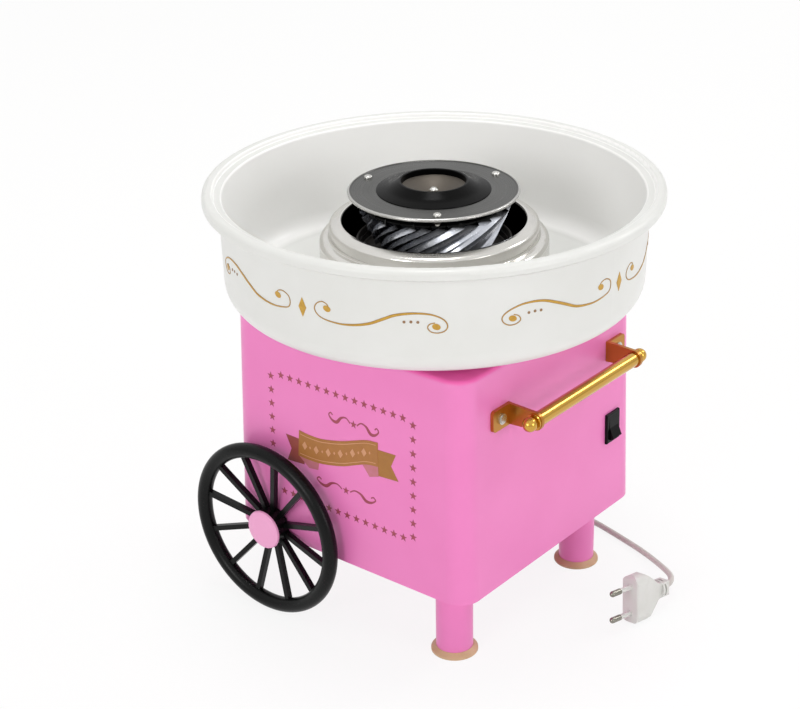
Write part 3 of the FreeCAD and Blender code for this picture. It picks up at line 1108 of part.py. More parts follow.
# ---------------------------------------------------------------- electrics inside
def board_screw_places():
    """X and Y of the two screws of the rectifier board."""
    half_length = BOARD_LENGTH / 2 - BOARD_SCREW_INSET
    half_width = BOARD_WIDTH / 2 - BOARD_SCREW_INSET
    return [(BOARD_X + sign * half_length, sign * half_width) for sign in (1, -1)]


def corners_from(place, offsets):
    """Points at offsets from a place."""
    return [place + Vector(*offset) for offset in offsets]


def make_electrics():
    """Terminal block, rectifier board with its parts and screws, and the inner wiring."""
    inner_end = face_point(-INNER_LEAD_LENGTH, "+Y", -GLAND_X, GLAND_HEIGHT)
    block_y = inner_end.y - RUBBER_FIT
    block_top = COVER_TOP + BLOCK_HEIGHT
    terminal = block((BLOCK_X - BLOCK_LENGTH / 2, block_y - BLOCK_WIDTH, COVER_TOP),
                     (BLOCK_X + BLOCK_LENGTH / 2, block_y, block_top))
    wells = [cylinder(WELL_RADIUS, block_top - WELL_DEPTH, block_top + OVERLAP, BLOCK_X + step,
                      block_y - BLOCK_WIDTH / 2) for step in (-WELL_OFFSET, WELL_OFFSET)]
    board_z = COVER_TOP + BOARD_POST_HEIGHT
    board_top = board_z + BOARD_THICKNESS
    board = block((BOARD_X - BOARD_LENGTH / 2, -BOARD_WIDTH / 2, board_z),
                  (BOARD_X + BOARD_LENGTH / 2, BOARD_WIDTH / 2, board_top))
    hole = BOARD_SCREW_RADIUS + SCREW_CLEARANCE
    holes = [cylinder(hole, board_z - OVERLAP, board_top + OVERLAP, x, y)
             for x, y in board_screw_places()]
    screws = []
    for x, y in board_screw_places():
        head = cylinder(BOARD_SCREW_RADIUS * 2, board_top, board_top + BOARD_SCREW_HEAD, x, y)
        low = board_top - BOARD_SCREW_LENGTH
        screws.append(united([head, cylinder(BOARD_SCREW_RADIUS, low, board_top + OVERLAP, x, y)]))
    low = Vector(BOARD_X + BRIDGE_CORNER[0], BRIDGE_CORNER[1], board_top)
    bridge = block(low, low + Vector(*BRIDGE_SIZE))
    x, y = CAPACITOR_PLACE
    capacitor = cylinder(CAPACITOR_RADIUS, board_top, board_top + CAPACITOR_HEIGHT, BOARD_X + x, y)
    wires = []
    leg_end = PAN_TOP + HEATER_HEIGHT - HEATER_LEG_LENGTH
    for (x, y), pad_x in zip(heater_leg_places(), WIRE_PAD_X):
        end, pad = Vector(x, y, leg_end), Vector(BOARD_X + pad_x, WIRE_PAD_Y, board_top)
        wires.append([end] + corners_from(end, HEATER_WIRE_DROP)
                     + corners_from(pad, PAD_WIRE_RISE) + [pad])
    back = -SWITCH_BODY_DEPTH - BLADE_LENGTH
    for step, z in zip((WELL_OFFSET, -WELL_OFFSET), BLADE_HEIGHTS):
        start, ahead = [on_face(Part.Vertex(x, 0, z), "+X", SWITCH_Y, SWITCH_HEIGHT).Point
                        for x in (back, back - SWITCH_WIRE_STRAIGHT)]
        well = Vector(BLOCK_X + step, block_y - BLOCK_WIDTH / 2, block_top)
        wires.append([start, ahead] + corners_from(well, WELL_WIRE_RISE)
                     + [well - Vector(0, 0, WELL_DEPTH)])
    leads = [tube(route, WIRE_RADIUS)[0] for route in wires]
    return {"terminal_block": terminal.cut(wells), "rectifier_board": board.cut(holes),
            "board_parts": group([bridge, capacitor]), "board_screws": group(screws),
            "inner_wires": group(leads)}


# ---------------------------------------------------------------- mains cord and plug
def coil_point(angle, reach, back):
    """Point on a turn of the coil, moved back along the turn's tangent."""
    turn = math.radians(angle)
    layer = reach[1] * 2 * CORD_RADIUS + CORD_RADIUS
    radius = COIL_RADIUS + reach[0] * 2 * CORD_RADIUS
    return Vector(COIL_X + radius * math.cos(turn) + back * math.sin(turn),
                  COIL_Y + radius * math.sin(turn) - back * math.cos(turn), layer)


def make_cord():
    """Strain relief, the lead through it, the free cord in three pieces and the plug."""
    gland = ("+Y", -GLAND_X, GLAND_HEIGHT)
    inside = -HOUSING_WALL * math.cos(math.radians(DRAFT))
    nut_radius, nut_end = GLAND_BODY_RADIUS + GLAND_NUT_WIDTH, inside - 2 * GLAND_NUT_WIDTH
    profile = [(0, nut_end), (nut_radius, nut_end), (nut_radius, inside),
               (GLAND_BODY_RADIUS, inside),
               (GLAND_BODY_RADIUS, 0), (GLAND_FLANGE_RADIUS, 0),
               (GLAND_FLANGE_RADIUS, GLAND_FLANGE_THICKNESS, 0.8),
               (GLAND_BODY_RADIUS, GLAND_FLANGE_THICKNESS + 0.6, 0.8),
               (GLAND_TIP_RADIUS, GLAND_LENGTH), (0, GLAND_LENGTH)]
    bore = cylinder(CORD_RADIUS + SEAT_FIT, nut_end - OVERLAP, GLAND_LENGTH + OVERLAP)
    relief = turned(profile).cut(bore)
    relief = relief.rotated(Vector(0, 0, 0), Vector(0, 1, 0), 90)
    inner = along_x(CORD_RADIUS, -INNER_LEAD_LENGTH, GLAND_LENGTH)
    lead_start = face_point(GLAND_LENGTH, *gland)
    lead_next = face_point(GLAND_LENGTH + LEAD_STRAIGHT, *gland)
    top_turn, floor_turn = (COIL_OUTERMOST, COIL_TURNS_HIGH - 1), (COIL_OUTERMOST, 0)
    entry = coil_point(COIL_ENTRY_ANGLE, top_turn, COIL_STUB)
    entry_corner = coil_point(COIL_ENTRY_ANGLE, top_turn, COIL_STUB + COIL_RUN)
    leave = coil_point(COIL_EXIT_ANGLE, floor_turn, -COIL_STUB)
    leave_corner = coil_point(COIL_EXIT_ANGLE, floor_turn, -COIL_STUB - COIL_RUN)
    plug, place = make_plug()
    neck = place.multVec(Vector(-PLUG_LENGTH, 0, 0))
    last_corner = place.multVec(Vector(-PLUG_LENGTH - TAIL_STRAIGHT, 0, 0))
    lead_points = [lead_start, lead_next] + LEAD_ROUTE + [entry_corner, entry]
    tail_points = [leave, leave_corner] + TAIL_ROUTE + [last_corner, neck]
    lead, lead_radii, lead_length = tube(lead_points, CORD_RADIUS)
    tail, tail_radii, tail_length = tube(tail_points, CORD_RADIUS)
    for name, solid, radii, length in (("lead", lead, lead_radii, lead_length),
                                       ("tail", tail, tail_radii, tail_length)):
        ideal = math.pi * CORD_RADIUS ** 2 * length
        print("cord", name, "length %.1f" % length, "volume share %.4f" % (solid.Volume / ideal),
              "radii", " ".join("%.1f" % radius for radius in radii))
    half_width = COIL_TURNS_WIDE * CORD_RADIUS
    outer, hole = COIL_RADIUS + half_width, COIL_RADIUS - half_width
    height = COIL_TURNS_HIGH * 2 * CORD_RADIUS
    round_off = CORD_RADIUS * 0.6
    coil = turned([(hole, 0, round_off), (outer, 0, round_off), (outer, height, round_off),
                   (hole, height, round_off)]).translated(Vector(COIL_X, COIL_Y, 0))
    stubs = []
    for angle, turn, far in ((COIL_ENTRY_ANGLE, top_turn, entry), (COIL_EXIT_ANGLE, floor_turn, leave)):
        near = coil_point(angle, turn, 0)
        stubs.append(Part.makeCylinder(CORD_RADIUS, COIL_STUB, near, far - near))
    turns = coil_turns()
    print("cord coil turns %.2f" % turns, "length %.1f" % coil_length(),
          "whole cord %.1f" % (lead_length + tail_length + coil_length()))
    nodes = {"cord_gland": on_face(relief, *gland), "inner_lead": on_face(inner, *gland),
             "cord_lead": lead, "cord_tail": tail, "cord_coil": united([coil] + stubs)}
    nodes.update(plug)
    return nodes


def coil_turns():
    """Turns that the coil holds, from its entry above to its exit below."""
    whole = COIL_TURNS_WIDE * COIL_TURNS_HIGH - 1
    return whole + ((COIL_EXIT_ANGLE - COIL_ENTRY_ANGLE) % 360) / 360


def coil_length():
    """Length of cord in the coil and its two straight stubs."""
    return coil_turns() * 2 * math.pi * COIL_RADIUS + 2 * COIL_STUB


def make_plug():
    """Flat two-pin plug resting on its long edge, and the placement that lays it there."""
    half = PLUG_WIDTH / 2
    neck = PLUG_NECK_WIDTH / 2
    back = -PLUG_LENGTH
    waist = back + PLUG_NECK_LENGTH
    outline = closed_wire([(0, -half, 0, PLUG_FRONT_ROUND), (0, half, 0, PLUG_FRONT_ROUND),
                           (-PLUG_SHOULDER, half, 0, PLUG_SHOULDER_ROUND),
                           (waist, neck, 0, PLUG_WAIST_ROUND), (back, neck, 0), (back, -neck, 0),
                           (waist, -neck, 0, PLUG_WAIST_ROUND),
                           (-PLUG_SHOULDER, -half, 0, PLUG_SHOULDER_ROUND)])
    thick = PLUG_THICKNESS / 2
    flat = Part.Face(outline).extrude(Vector(0, 0, PLUG_THICKNESS)).translated(Vector(0, 0, -thick))
    thin = neck - PLUG_NECK_FLAT
    side = closed_wire([(0, 0, -thick, PLUG_FACE_ROUND), (0, 0, thick, PLUG_FACE_ROUND),
                        (-PLUG_SHOULDER, 0, thick, PLUG_BACK_ROUND),
                        (waist, 0, thin, PLUG_NECK_ROUND), (back, 0, thin), (back, 0, -thin),
                        (waist, 0, -thin, PLUG_NECK_ROUND),
                        (-PLUG_SHOULDER, 0, -thick, PLUG_BACK_ROUND)])
    slab = Part.Face(side).extrude(Vector(0, PLUG_WIDTH + 2 * OVERLAP, 0))
    slab = slab.translated(Vector(0, -half - OVERLAP, 0))
    long_way = OVERLAP + PLUG_LENGTH
    section = closed_wire([(-long_way, half, thick, PLUG_SECTION_ROUND),
                           (-long_way, -half, thick, PLUG_SECTION_ROUND),
                           (-long_way, -half, -thick, PLUG_SECTION_ROUND),
                           (-long_way, half, -thick, PLUG_SECTION_ROUND)])
    bar = Part.Face(section).extrude(Vector(long_way + OVERLAP, 0, 0))
    body = flat.common(slab).common(bar)
    ribs = [along_x(neck + PLUG_RIB_HEIGHT, back + offset, back + offset + PLUG_RIB_WIDTH)
            for offset in PLUG_RIB_OFFSETS]
    sleeves, pins = [], []
    for y in (-PIN_SPACING / 2, PIN_SPACING / 2):
        sleeves.append(along_x(PIN_SLEEVE_RADIUS, -OVERLAP, PIN_SLEEVE, y))
        core = along_x(PIN_CORE_RADIUS, -PIN_ROOT, PIN_SLEEVE + OVERLAP, y)
        tip = along_x(PIN_RADIUS, PIN_SLEEVE, PIN_LENGTH - PIN_RADIUS, y)
        nose = Part.makeSphere(PIN_RADIUS, Vector(PIN_LENGTH - PIN_RADIUS, y, 0))
        pins.append(united([core, tip, nose]))
    cores = [along_x(PIN_CORE_RADIUS + SEAT_FIT, -PIN_ROOT, PIN_SLEEVE + OVERLAP, y)
             for y in (-PIN_SPACING / 2, PIN_SPACING / 2)]
    body = united([body] + ribs + sleeves).cut(cores)
    place = Placement(Vector(PLUG_X, PLUG_Y, 0), Rotation(Vector(0, 0, 1), PLUG_HEADING))
    place = place.multiply(Placement(Vector(0, 0, 0), Rotation(Vector(0, 1, 0), -PLUG_PITCH)))
    place = place.multiply(Placement(Vector(0, 0, 0), Rotation(Vector(1, 0, 0), 90 + PLUG_LEAN)))
    place = place.multiply(Placement(Vector(-PIN_LENGTH, 0, 0), Rotation()))
    body.Placement = place
    place.move(Vector(0, 0, -body.optimalBoundingBox().ZMin))
    nodes = {"plug_body": body, "plug_pins": group(pins)}
    for shape in nodes.values():
        shape.Placement = place
    return nodes, place


# ---------------------------------------------------------------- the whole machine
def make_all():
    """Every node of the machine by name."""
    nodes = {}
    for maker in (make_housing, make_bottom_cover, make_legs, make_wheels, make_bowl, make_collar,
                  make_heater, make_head, make_motor, make_handle, make_switch, make_electrics,
                  make_cord):
        nodes.update(maker())
    return nodes


def main():
    """Write one STEP file for each node."""
    os.makedirs("parts", exist_ok=True)
    nodes = make_all()
    for name, shape in sorted(nodes.items()):
        shape.exportStep(os.path.join("parts", name + ".step"))
    print(len(nodes), "nodes")


main()
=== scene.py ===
"""Looks of a small electric cotton candy cart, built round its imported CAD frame.

Everything is in metres, with the origin on the floor under the bowl's axis. +X is the face with
the handle and the rocker switch, -Y the decorated face, the wheels stand beside the -X end.
"""
import functools
import logging
import math
from collections.abc import Iterable
from dataclasses import dataclass, field
from enum import Enum

import bpy
from mathutils import Matrix, Vector


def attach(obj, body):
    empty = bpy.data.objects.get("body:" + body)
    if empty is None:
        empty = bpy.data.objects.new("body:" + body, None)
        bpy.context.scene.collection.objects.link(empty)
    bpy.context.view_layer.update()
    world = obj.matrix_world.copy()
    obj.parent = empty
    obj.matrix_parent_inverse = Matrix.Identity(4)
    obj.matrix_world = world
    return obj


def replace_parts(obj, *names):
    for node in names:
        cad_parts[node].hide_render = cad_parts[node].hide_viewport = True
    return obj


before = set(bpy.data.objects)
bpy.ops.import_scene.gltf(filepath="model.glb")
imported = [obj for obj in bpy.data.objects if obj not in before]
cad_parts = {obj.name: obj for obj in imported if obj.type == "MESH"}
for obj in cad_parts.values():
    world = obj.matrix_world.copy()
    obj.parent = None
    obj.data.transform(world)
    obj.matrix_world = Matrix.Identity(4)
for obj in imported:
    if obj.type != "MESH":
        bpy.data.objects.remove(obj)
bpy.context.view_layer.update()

LOG = logging.getLogger("cotton_candy_cart")
MM = 0.001
SHARP_EDGE = math.radians(35)

# a mix node's colour sockets, by number because they share their names with its other sockets
MIX_FIRST, MIX_SECOND, MIX_RESULT = 6, 7, 2
# most of a noise texture's values lie between these
NOISE_LOW, NOISE_HIGH = 0.3, 0.7
CLOUD_DETAIL, GRAIN_DETAIL = 3.0, 2.0
GRAIN_STRENGTH = 0.6
# how much coarser the grain of a drawn bar is along it
ALONG_STRETCH = 0.02
SCATTER_DEPTH = 0.002
# how squarely a wall faces the axis where its painted inside light or shade starts, and where it is
# full
INWARD_START, INWARD_FULL = 0.2, 0.5
# a star's inner corners, as a share of its tips
STAR_WAIST = 0.42
# height of one layer of ink, and how far its film reaches into the wall
INK_FILM, INK_ROOT = 0.00009, 0.00012

Tone = tuple[int, int, int]
Flat = tuple[float, float]
Place = tuple[float, float, float]


# ---------------------------------------------------------------- finishes
def linear(tone: Tone) -> tuple[float, float, float, float]:
    """Turn a tone written as 0 to 255 into a linear colour.

    Args:
        tone: red, green and blue as they are seen, 0 to 255.

    Returns:
        The linear colour with an alpha of 1.
    """
    shares = [part / 255 for part in tone]
    low = [share / 12.92 if share < 0.04045 else ((share + 0.055) / 1.055) ** 2.4
           for share in shares]
    return (low[0], low[1], low[2], 1.0)


def flat_part(nodes: bpy.types.Nodes, links: bpy.types.NodeLinks,
              split: bpy.types.Node) -> bpy.types.NodeSocket:
    """Keep the X and Y of a place.

    Args:
        nodes: the material's nodes.
        links: the material's links.
        split: the node that gives the place's X, Y and Z.

    Returns:
        The place without its height.
    """
    flat = nodes.new("ShaderNodeCombineXYZ")
    for axis in ("X", "Y"):
        links.new(split.outputs[axis], flat.inputs[axis])
    return flat.outputs[0]


def vector_length(nodes: bpy.types.Nodes, links: bpy.types.NodeLinks,
                  vector: bpy.types.NodeSocket) -> bpy.types.NodeSocket:
    """Measure a vector.

    Args:
        nodes: the material's nodes.
        links: the material's links.
        vector: what is measured.

    Returns:
        Its length.
    """
    maths = nodes.new("ShaderNodeVectorMath")
    maths.operation = "LENGTH"
    links.new(vector, maths.inputs[0])
    return maths.outputs["Value"]


class Lay(Enum):
    """How the fine lines of a surface run."""

    EVEN = "even"
    SPUN = "spun"
    ALONG_Y = "along_y"


class Where(Enum):
    """Which part of a turned piece has a second tone, mostly painted light or shade."""

    RIM = "rim"
    TOP = "top"
    INSIDE = "inside"


@dataclass(frozen=True)
class Zone:
    """A second tone over part of a turned piece: painted light or shade on most finishes, a real
    bright rim on the disc.

    The edge is a radius for RIM and a height for TOP, both in metres, and isn't used for INSIDE.
    """

    where: Where
    tone: Tone
    edge: float = 0.0
    blend: float = 0.0003

    def measure(self, nodes: bpy.types.Nodes, links: bpy.types.NodeLinks,
                coordinate: bpy.types.NodeSocket) -> bpy.types.NodeSocket:
        """Measure what the zone goes by.

        Args:
            nodes: the material's nodes.
            links: the material's links.
            coordinate: the place on the piece.

        Returns:
            The radius, the height, or how far the surface faces the axis.
        """
        split = nodes.new("ShaderNodeSeparateXYZ")
        links.new(coordinate, split.inputs[0])
        if self.where is Where.TOP:
            return split.outputs["Z"]
        flat = flat_part(nodes, links, split)
        if self.where is Where.RIM:
            return vector_length(nodes, links, flat)
        outward = nodes.new("ShaderNodeVectorMath")
        outward.operation = "NORMALIZE"
        links.new(flat, outward.inputs[0])
        facing = nodes.new("ShaderNodeVectorMath")
        facing.operation = "DOT_PRODUCT"
        links.new(outward.outputs["Vector"], facing.inputs[0])
        links.new(nodes.new("ShaderNodeNewGeometry").outputs["Normal"], facing.inputs[1])
        inward = nodes.new("ShaderNodeMath")
        inward.operation = "MULTIPLY"
        inward.inputs[1].default_value = -1.0
        links.new(facing.outputs["Value"], inward.inputs[0])
        return inward.outputs[0]

    def cover(self, nodes: bpy.types.Nodes, links: bpy.types.NodeLinks,
              coordinate: bpy.types.NodeSocket,
              colour: bpy.types.NodeSocket) -> bpy.types.NodeSocket:
        """Lay the second tone over a colour.

        Args:
            nodes: the material's nodes.
            links: the material's links.
            coordinate: the place on the piece.
            colour: the colour below.

        Returns:
            The colour with the zone on it.
        """
        start, full = self.edge - self.blend, self.edge + self.blend
        if self.where is Where.INSIDE:
            start, full = INWARD_START, INWARD_FULL
        step = nodes.new("ShaderNodeMapRange")
        step.inputs["From Min"].default_value = start
        step.inputs["From Max"].default_value = full
        links.new(self.measure(nodes, links, coordinate), step.inputs["Value"])
        mix = nodes.new("ShaderNodeMix")
        mix.data_type = "RGBA"
        links.new(colour, mix.inputs[MIX_FIRST])
        mix.inputs[MIX_SECOND].default_value = linear(self.tone)
        links.new(step.outputs["Result"], mix.inputs["Factor"])
        return mix.outputs[MIX_RESULT]


@dataclass(frozen=True)
class Finish:
    """A surface: two close tones in soft clouds, a range of roughness and a fine grain.

    Scales are per metre and relief is the height of the grain in metres.
    """

    name: str
    tone: Tone
    shade: Tone
    roughness: tuple[float, float]
    lay: Lay = Lay.EVEN
    cloud: float = 22.0
    grain: float = 900.0
    relief: float = 0.00002
    metallic: float = 0.0
    coat: float = 0.0
    coat_roughness: float = 0.08
    specular: float = 0.5
    subsurface: float = 0.0
    zone: Zone | None = None

    def grain_place(self, nodes: bpy.types.Nodes, links: bpy.types.NodeLinks,
                    coordinate: bpy.types.NodeSocket) -> bpy.types.NodeSocket:
        """Bend the coordinate so that the grain runs as the surface was worked.

        Args:
            nodes: the material's nodes.
            links: the material's links.
            coordinate: the place on the piece.

        Returns:
            The socket that the grain is read at.
        """
        if self.lay is Lay.EVEN:
            return coordinate
        if self.lay is Lay.SPUN:
            split = nodes.new("ShaderNodeSeparateXYZ")
            links.new(coordinate, split.inputs[0])
            reach = vector_length(nodes, links, flat_part(nodes, links, split))
            ring = nodes.new("ShaderNodeCombineXYZ")
            links.new(reach, ring.inputs["X"])
            links.new(split.outputs["Z"], ring.inputs["Y"])
            return ring.outputs[0]
        stretch = nodes.new("ShaderNodeMapping")
        stretch.inputs["Scale"].default_value = (1.0, ALONG_STRETCH, 1.0)
        links.new(coordinate, stretch.inputs["Vector"])
        return stretch.outputs[0]

    def noise(self, nodes: bpy.types.Nodes, links: bpy.types.NodeLinks,
              coordinate: bpy.types.NodeSocket, scale: float,
              detail: float) -> bpy.types.NodeSocket:
        """Add a noise texture.

        Args:
            nodes: the material's nodes.
            links: the material's links.
            coordinate: where the noise is read.
            scale: how fine it is, per metre.
            detail: how many finer layers it has.

        Returns:
            The noise's value.
        """
        texture = nodes.new("ShaderNodeTexNoise")
        texture.inputs["Scale"].default_value = scale
        texture.inputs["Detail"].default_value = detail
        links.new(coordinate, texture.inputs["Vector"])
        return texture.outputs["Fac"]

    def ranged(self, nodes: bpy.types.Nodes, links: bpy.types.NodeLinks,
               value: bpy.types.NodeSocket, low: float, high: float) -> bpy.types.NodeSocket:
        """Spread a noise value, which stays near a half, over a range.

        Args:
            nodes: the material's nodes.
            links: the material's links.
            value: the noise's value.
            low: what the low end turns into.
            high: what the high end turns into.

        Returns:
            The value in its new range.
        """
        spread = nodes.new("ShaderNodeMapRange")
        spread.inputs["From Min"].default_value = NOISE_LOW
        spread.inputs["From Max"].default_value = NOISE_HIGH
        spread.inputs["To Min"].default_value = low
        spread.inputs["To Max"].default_value = high
        links.new(value, spread.inputs["Value"])
        return spread.outputs["Result"]

    def colour(self, nodes: bpy.types.Nodes, links: bpy.types.NodeLinks,
               coordinate: bpy.types.NodeSocket) -> bpy.types.NodeSocket:
        """Mix the two tones in soft clouds, and lay the zone over them.

        Args:
            nodes: the material's nodes.
            links: the material's links.
            coordinate: the place on the piece.

        Returns:
            The colour.
        """
        clouds = self.noise(nodes, links, coordinate, self.cloud, CLOUD_DETAIL)
        share = self.ranged(nodes, links, clouds, 0.0, 1.0)
        mix = nodes.new("ShaderNodeMix")
        mix.data_type = "RGBA"
        mix.inputs[MIX_FIRST].default_value = linear(self.tone)
        mix.inputs[MIX_SECOND].default_value = linear(self.shade)
        links.new(share, mix.inputs["Factor"])
        if self.zone is None:
            return mix.outputs[MIX_RESULT]
        return self.zone.cover(nodes, links, coordinate, mix.outputs[MIX_RESULT])

    def material(self) -> bpy.types.Material:
        """Give the finish's material, the same one each time."""
        return made_material(self)


@functools.cache
def made_material(finish: Finish) -> bpy.types.Material:
    """Make a finish's material.

    Args:
        finish: the surface.

    Returns:
        Its material, the same one each time.
    """
    material = bpy.data.materials.new("finish_" + finish.name)
    material.use_nodes = True
    nodes, links = material.node_tree.nodes, material.node_tree.links
    shader = nodes["Principled BSDF"]
    shader.inputs["Metallic"].default_value = finish.metallic
    shader.inputs["Coat Weight"].default_value = finish.coat
    shader.inputs["Coat Roughness"].default_value = finish.coat_roughness
    shader.inputs["Specular IOR Level"].default_value = finish.specular
    shader.inputs["Subsurface Weight"].default_value = finish.subsurface
    shader.inputs["Subsurface Scale"].default_value = SCATTER_DEPTH
    coordinate = nodes.new("ShaderNodeTexCoord").outputs["Object"]
    place = finish.grain_place(nodes, links, coordinate)
    grain = finish.noise(nodes, links, place, finish.grain, GRAIN_DETAIL)
    low, high = finish.roughness
    links.new(finish.ranged(nodes, links, grain, low, high), shader.inputs["Roughness"])
    links.new(finish.colour(nodes, links, coordinate), shader.inputs["Base Color"])
    bump = nodes.new("ShaderNodeBump")
    bump.inputs["Distance"].default_value = finish.relief
    bump.inputs["Strength"].default_value = GRAIN_STRENGTH
    links.new(grain, bump.inputs["Height"])
    links.new(bump.outputs["Normal"], shader.inputs["Normal"])
    return material


PINK = Finish("moulded_pink", (236, 130, 194), (233, 126, 190), (0.32, 0.40),
              grain=650.0, relief=0.000008)
# painted shade: above 201 mm, on the deck under the bowl, the pink turns hotter, as the deck looks
# in the bowl's shade
PINK_WITH_PAINTED_DECK_SHADE = Finish("moulded_pink_painted_deck_shade", (236, 130, 194), (233, 126, 190), (0.32, 0.40),
                   grain=650.0, relief=0.000008,
                   zone=Zone(Where.TOP, (250, 106, 186), 0.2010, 0.0008))
PALE_PINK = Finish("moulded_pale_pink", (240, 168, 210), (237, 162, 205), (0.28, 0.36),
                   grain=650.0, relief=0.000008)
# painted light: walls facing the axis, the bowl's inside, take a brighter white than its outside,
# for light falling in and through the thin wall
WHITE_WITH_PAINTED_INNER_LIGHT = Finish("moulded_white_painted_inner_light", (224, 225, 223), (220, 221, 218), (0.30, 0.38),
               grain=420.0, relief=0.000005, zone=Zone(Where.INSIDE, (247, 247, 246)))
BLACK = Finish("moulded_black", (7, 8, 8), (11, 12, 12), (0.26, 0.36), grain=1100.0,
               relief=0.000006, specular=0.17)
SWITCH_BLACK = Finish("switch_black", (8, 8, 9), (12, 12, 13), (0.20, 0.28), grain=1400.0,
                      relief=0.000008, specular=0.12)
TAN_RUBBER = Finish("tan_rubber", (210, 178, 142), (200, 166, 129), (0.42, 0.54),
                    cloud=90.0, grain=800.0, subsurface=0.15)
BRASS = Finish("lacquered_brass", (206, 162, 70), (198, 153, 62), (0.16, 0.22), Lay.ALONG_Y,
               grain=1100.0, relief=0.000004, metallic=1.0, coat=0.3)
BRACKET_BRASS = Finish("pressed_brass", (190, 134, 58), (180, 122, 50), (0.28, 0.40),
                       grain=1300.0, relief=0.00001, metallic=1.0, coat=0.2)
# painted shade: walls facing the axis, the collar's inner skirt at the mouth, are near black for the
# shade gap round the head
POLISHED_WITH_PAINTED_INNER_SHADE = Finish("polished_aluminium", (220, 218, 214), (208, 206, 201), (0.15, 0.24),
                  Lay.SPUN, grain=2600.0, relief=0.000006, metallic=1.0,
                  zone=Zone(Where.INSIDE, (36, 34, 32)))
# painted shade: the pans, shaft, lock nuts and louvre foot are dark steel, standing for the black
# shade inside the head and collar
SHADE_DARKENED_STEEL = Finish("shade_darkened_steel", (62, 59, 56), (48, 45, 42), (0.34, 0.50), Lay.SPUN,
                cloud=60.0, grain=1800.0, metallic=1.0)
DISC_GREY = Finish("satin_grey_aluminium", (84, 84, 82), (70, 70, 68), (0.24, 0.36),
                   Lay.SPUN, grain=2200.0, relief=0.000012, metallic=0.85,
                   zone=Zone(Where.RIM, (186, 185, 182), 0.0530, 0.0002))
# painted shade: above about 267 mm the fins fade to near black, for the disc's shade over their tops
BRIGHT_STEEL_WITH_PAINTED_TOP_SHADE = Finish("bright_steel_painted_top_shade", (232, 235, 242), (196, 200, 210), (0.14, 0.28),
                      cloud=120.0, grain=900.0, relief=0.00001, metallic=0.72,
                      zone=Zone(Where.TOP, (8, 8, 8), 0.2672, 0.0014))
# painted shade: the drum behind the fins is dark so the gaps between the fins read as shade
SHADE_DARK_DRUM_STEEL = Finish("shade_dark_drum_steel", (64, 66, 70), (36, 37, 40), (0.20, 0.36), Lay.SPUN,
                    cloud=260.0, grain=1400.0, metallic=0.8)
# painted shade: the waist under the disc is black for the shade that the disc casts
NECK_PAINTED_SHADE_BLACK = Finish("painted_shade_neck_black", (13, 13, 13), (18, 18, 17), (0.44, 0.56), Lay.SPUN,
                    grain=1800.0, specular=0.12)
DISH = Finish("anodised_dish", (98, 92, 84), (82, 76, 69), (0.34, 0.46), Lay.SPUN,
              grain=2400.0, relief=0.00001, metallic=0.8)
# painted shade: walls facing the axis, the funnel's inside, are a little darker than its outside
ENAMEL_WITH_PAINTED_INNER_SHADE = Finish("black_enamel", (9, 9, 9), (13, 13, 13), (0.18, 0.26), grain=600.0,
                relief=0.000006, specular=0.05, zone=Zone(Where.INSIDE, (6, 6, 6)))
ZINC = Finish("zinc_plate", (206, 205, 200), (192, 191, 187), (0.22, 0.34), grain=1700.0,
              relief=0.00001, metallic=1.0)
HEATER = Finish("heat_tinted_steel", (110, 98, 88), (92, 74, 60), (0.30, 0.48),
                cloud=140.0, grain=1500.0, metallic=1.0)
CERAMIC = Finish("steatite", (232, 226, 212), (224, 216, 200), (0.5, 0.64), grain=1500.0)
MOTOR_STEEL = Finish("plated_motor_steel", (186, 186, 187), (174, 174, 176), (0.26, 0.40),
                     grain=1200.0, metallic=1.0)
FERRITE = Finish("raw_ferrite", (70, 70, 72), (58, 58, 60), (0.6, 0.8), grain=1600.0,
                 relief=0.00004)
BUSH_RUBBER = Finish("bush_rubber", (38, 38, 38), (46, 46, 45), (0.6, 0.75), grain=1200.0)
BOARD = Finish("board_green", (38, 104, 58), (30, 90, 50), (0.34, 0.46), grain=1400.0)
PART_BLACK = Finish("moulded_part_black", (34, 34, 36), (42, 42, 44), (0.4, 0.55), grain=1600.0)
TERMINAL = Finish("terminal_white", (230, 229, 222), (222, 221, 213), (0.4, 0.52),
                  grain=1200.0)
SLEEVE = Finish("woven_sleeve", (150, 62, 52), (128, 48, 42), (0.6, 0.75), cloud=600.0,
                grain=3200.0, relief=0.00008)
SHEATH = Finish("cord_sheath", (204, 200, 195), (196, 192, 187), (0.34, 0.46), cloud=120.0,
                grain=1500.0)
PLUG_SHELL = Finish("plug_shell", (216, 217, 214), (209, 210, 206), (0.34, 0.46), cloud=90.0,
                    grain=1200.0, relief=0.000012)
PIN = Finish("nickel_pin", (150, 147, 138), (134, 131, 122), (0.20, 0.34), grain=1500.0,
             metallic=1.0)
GOLD_INK = Finish("gold_ink", (200, 158, 62), (186, 142, 52), (0.34, 0.46), cloud=400.0,
                  grain=3000.0, metallic=0.25)
BROWN_INK = Finish("brown_ink", (150, 118, 84), (140, 106, 74), (0.44, 0.56), cloud=300.0,
                   grain=3000.0)
ROSE_INK = Finish("rose_ink", (162, 68, 86), (152, 60, 78), (0.42, 0.54), cloud=300.0,
                  grain=3000.0)
RIBBON_INK = Finish("ribbon_ink", (170, 113, 52), (163, 105, 48), (0.42, 0.54), cloud=160.0,
                    grain=2600.0)
TAIL_INK = Finish("ribbon_tail_ink", (166, 112, 44), (158, 104, 40), (0.42, 0.54),
                  cloud=160.0, grain=2600.0)
DARK_TAIL_INK = Finish("dark_tail_ink", (144, 62, 60), (152, 72, 62), (0.42, 0.54),
                       cloud=160.0, grain=2600.0)
FOLD_INK = Finish("ribbon_fold_ink", (196, 116, 134), (188, 110, 116), (0.42, 0.54),
                  cloud=160.0, grain=2600.0)
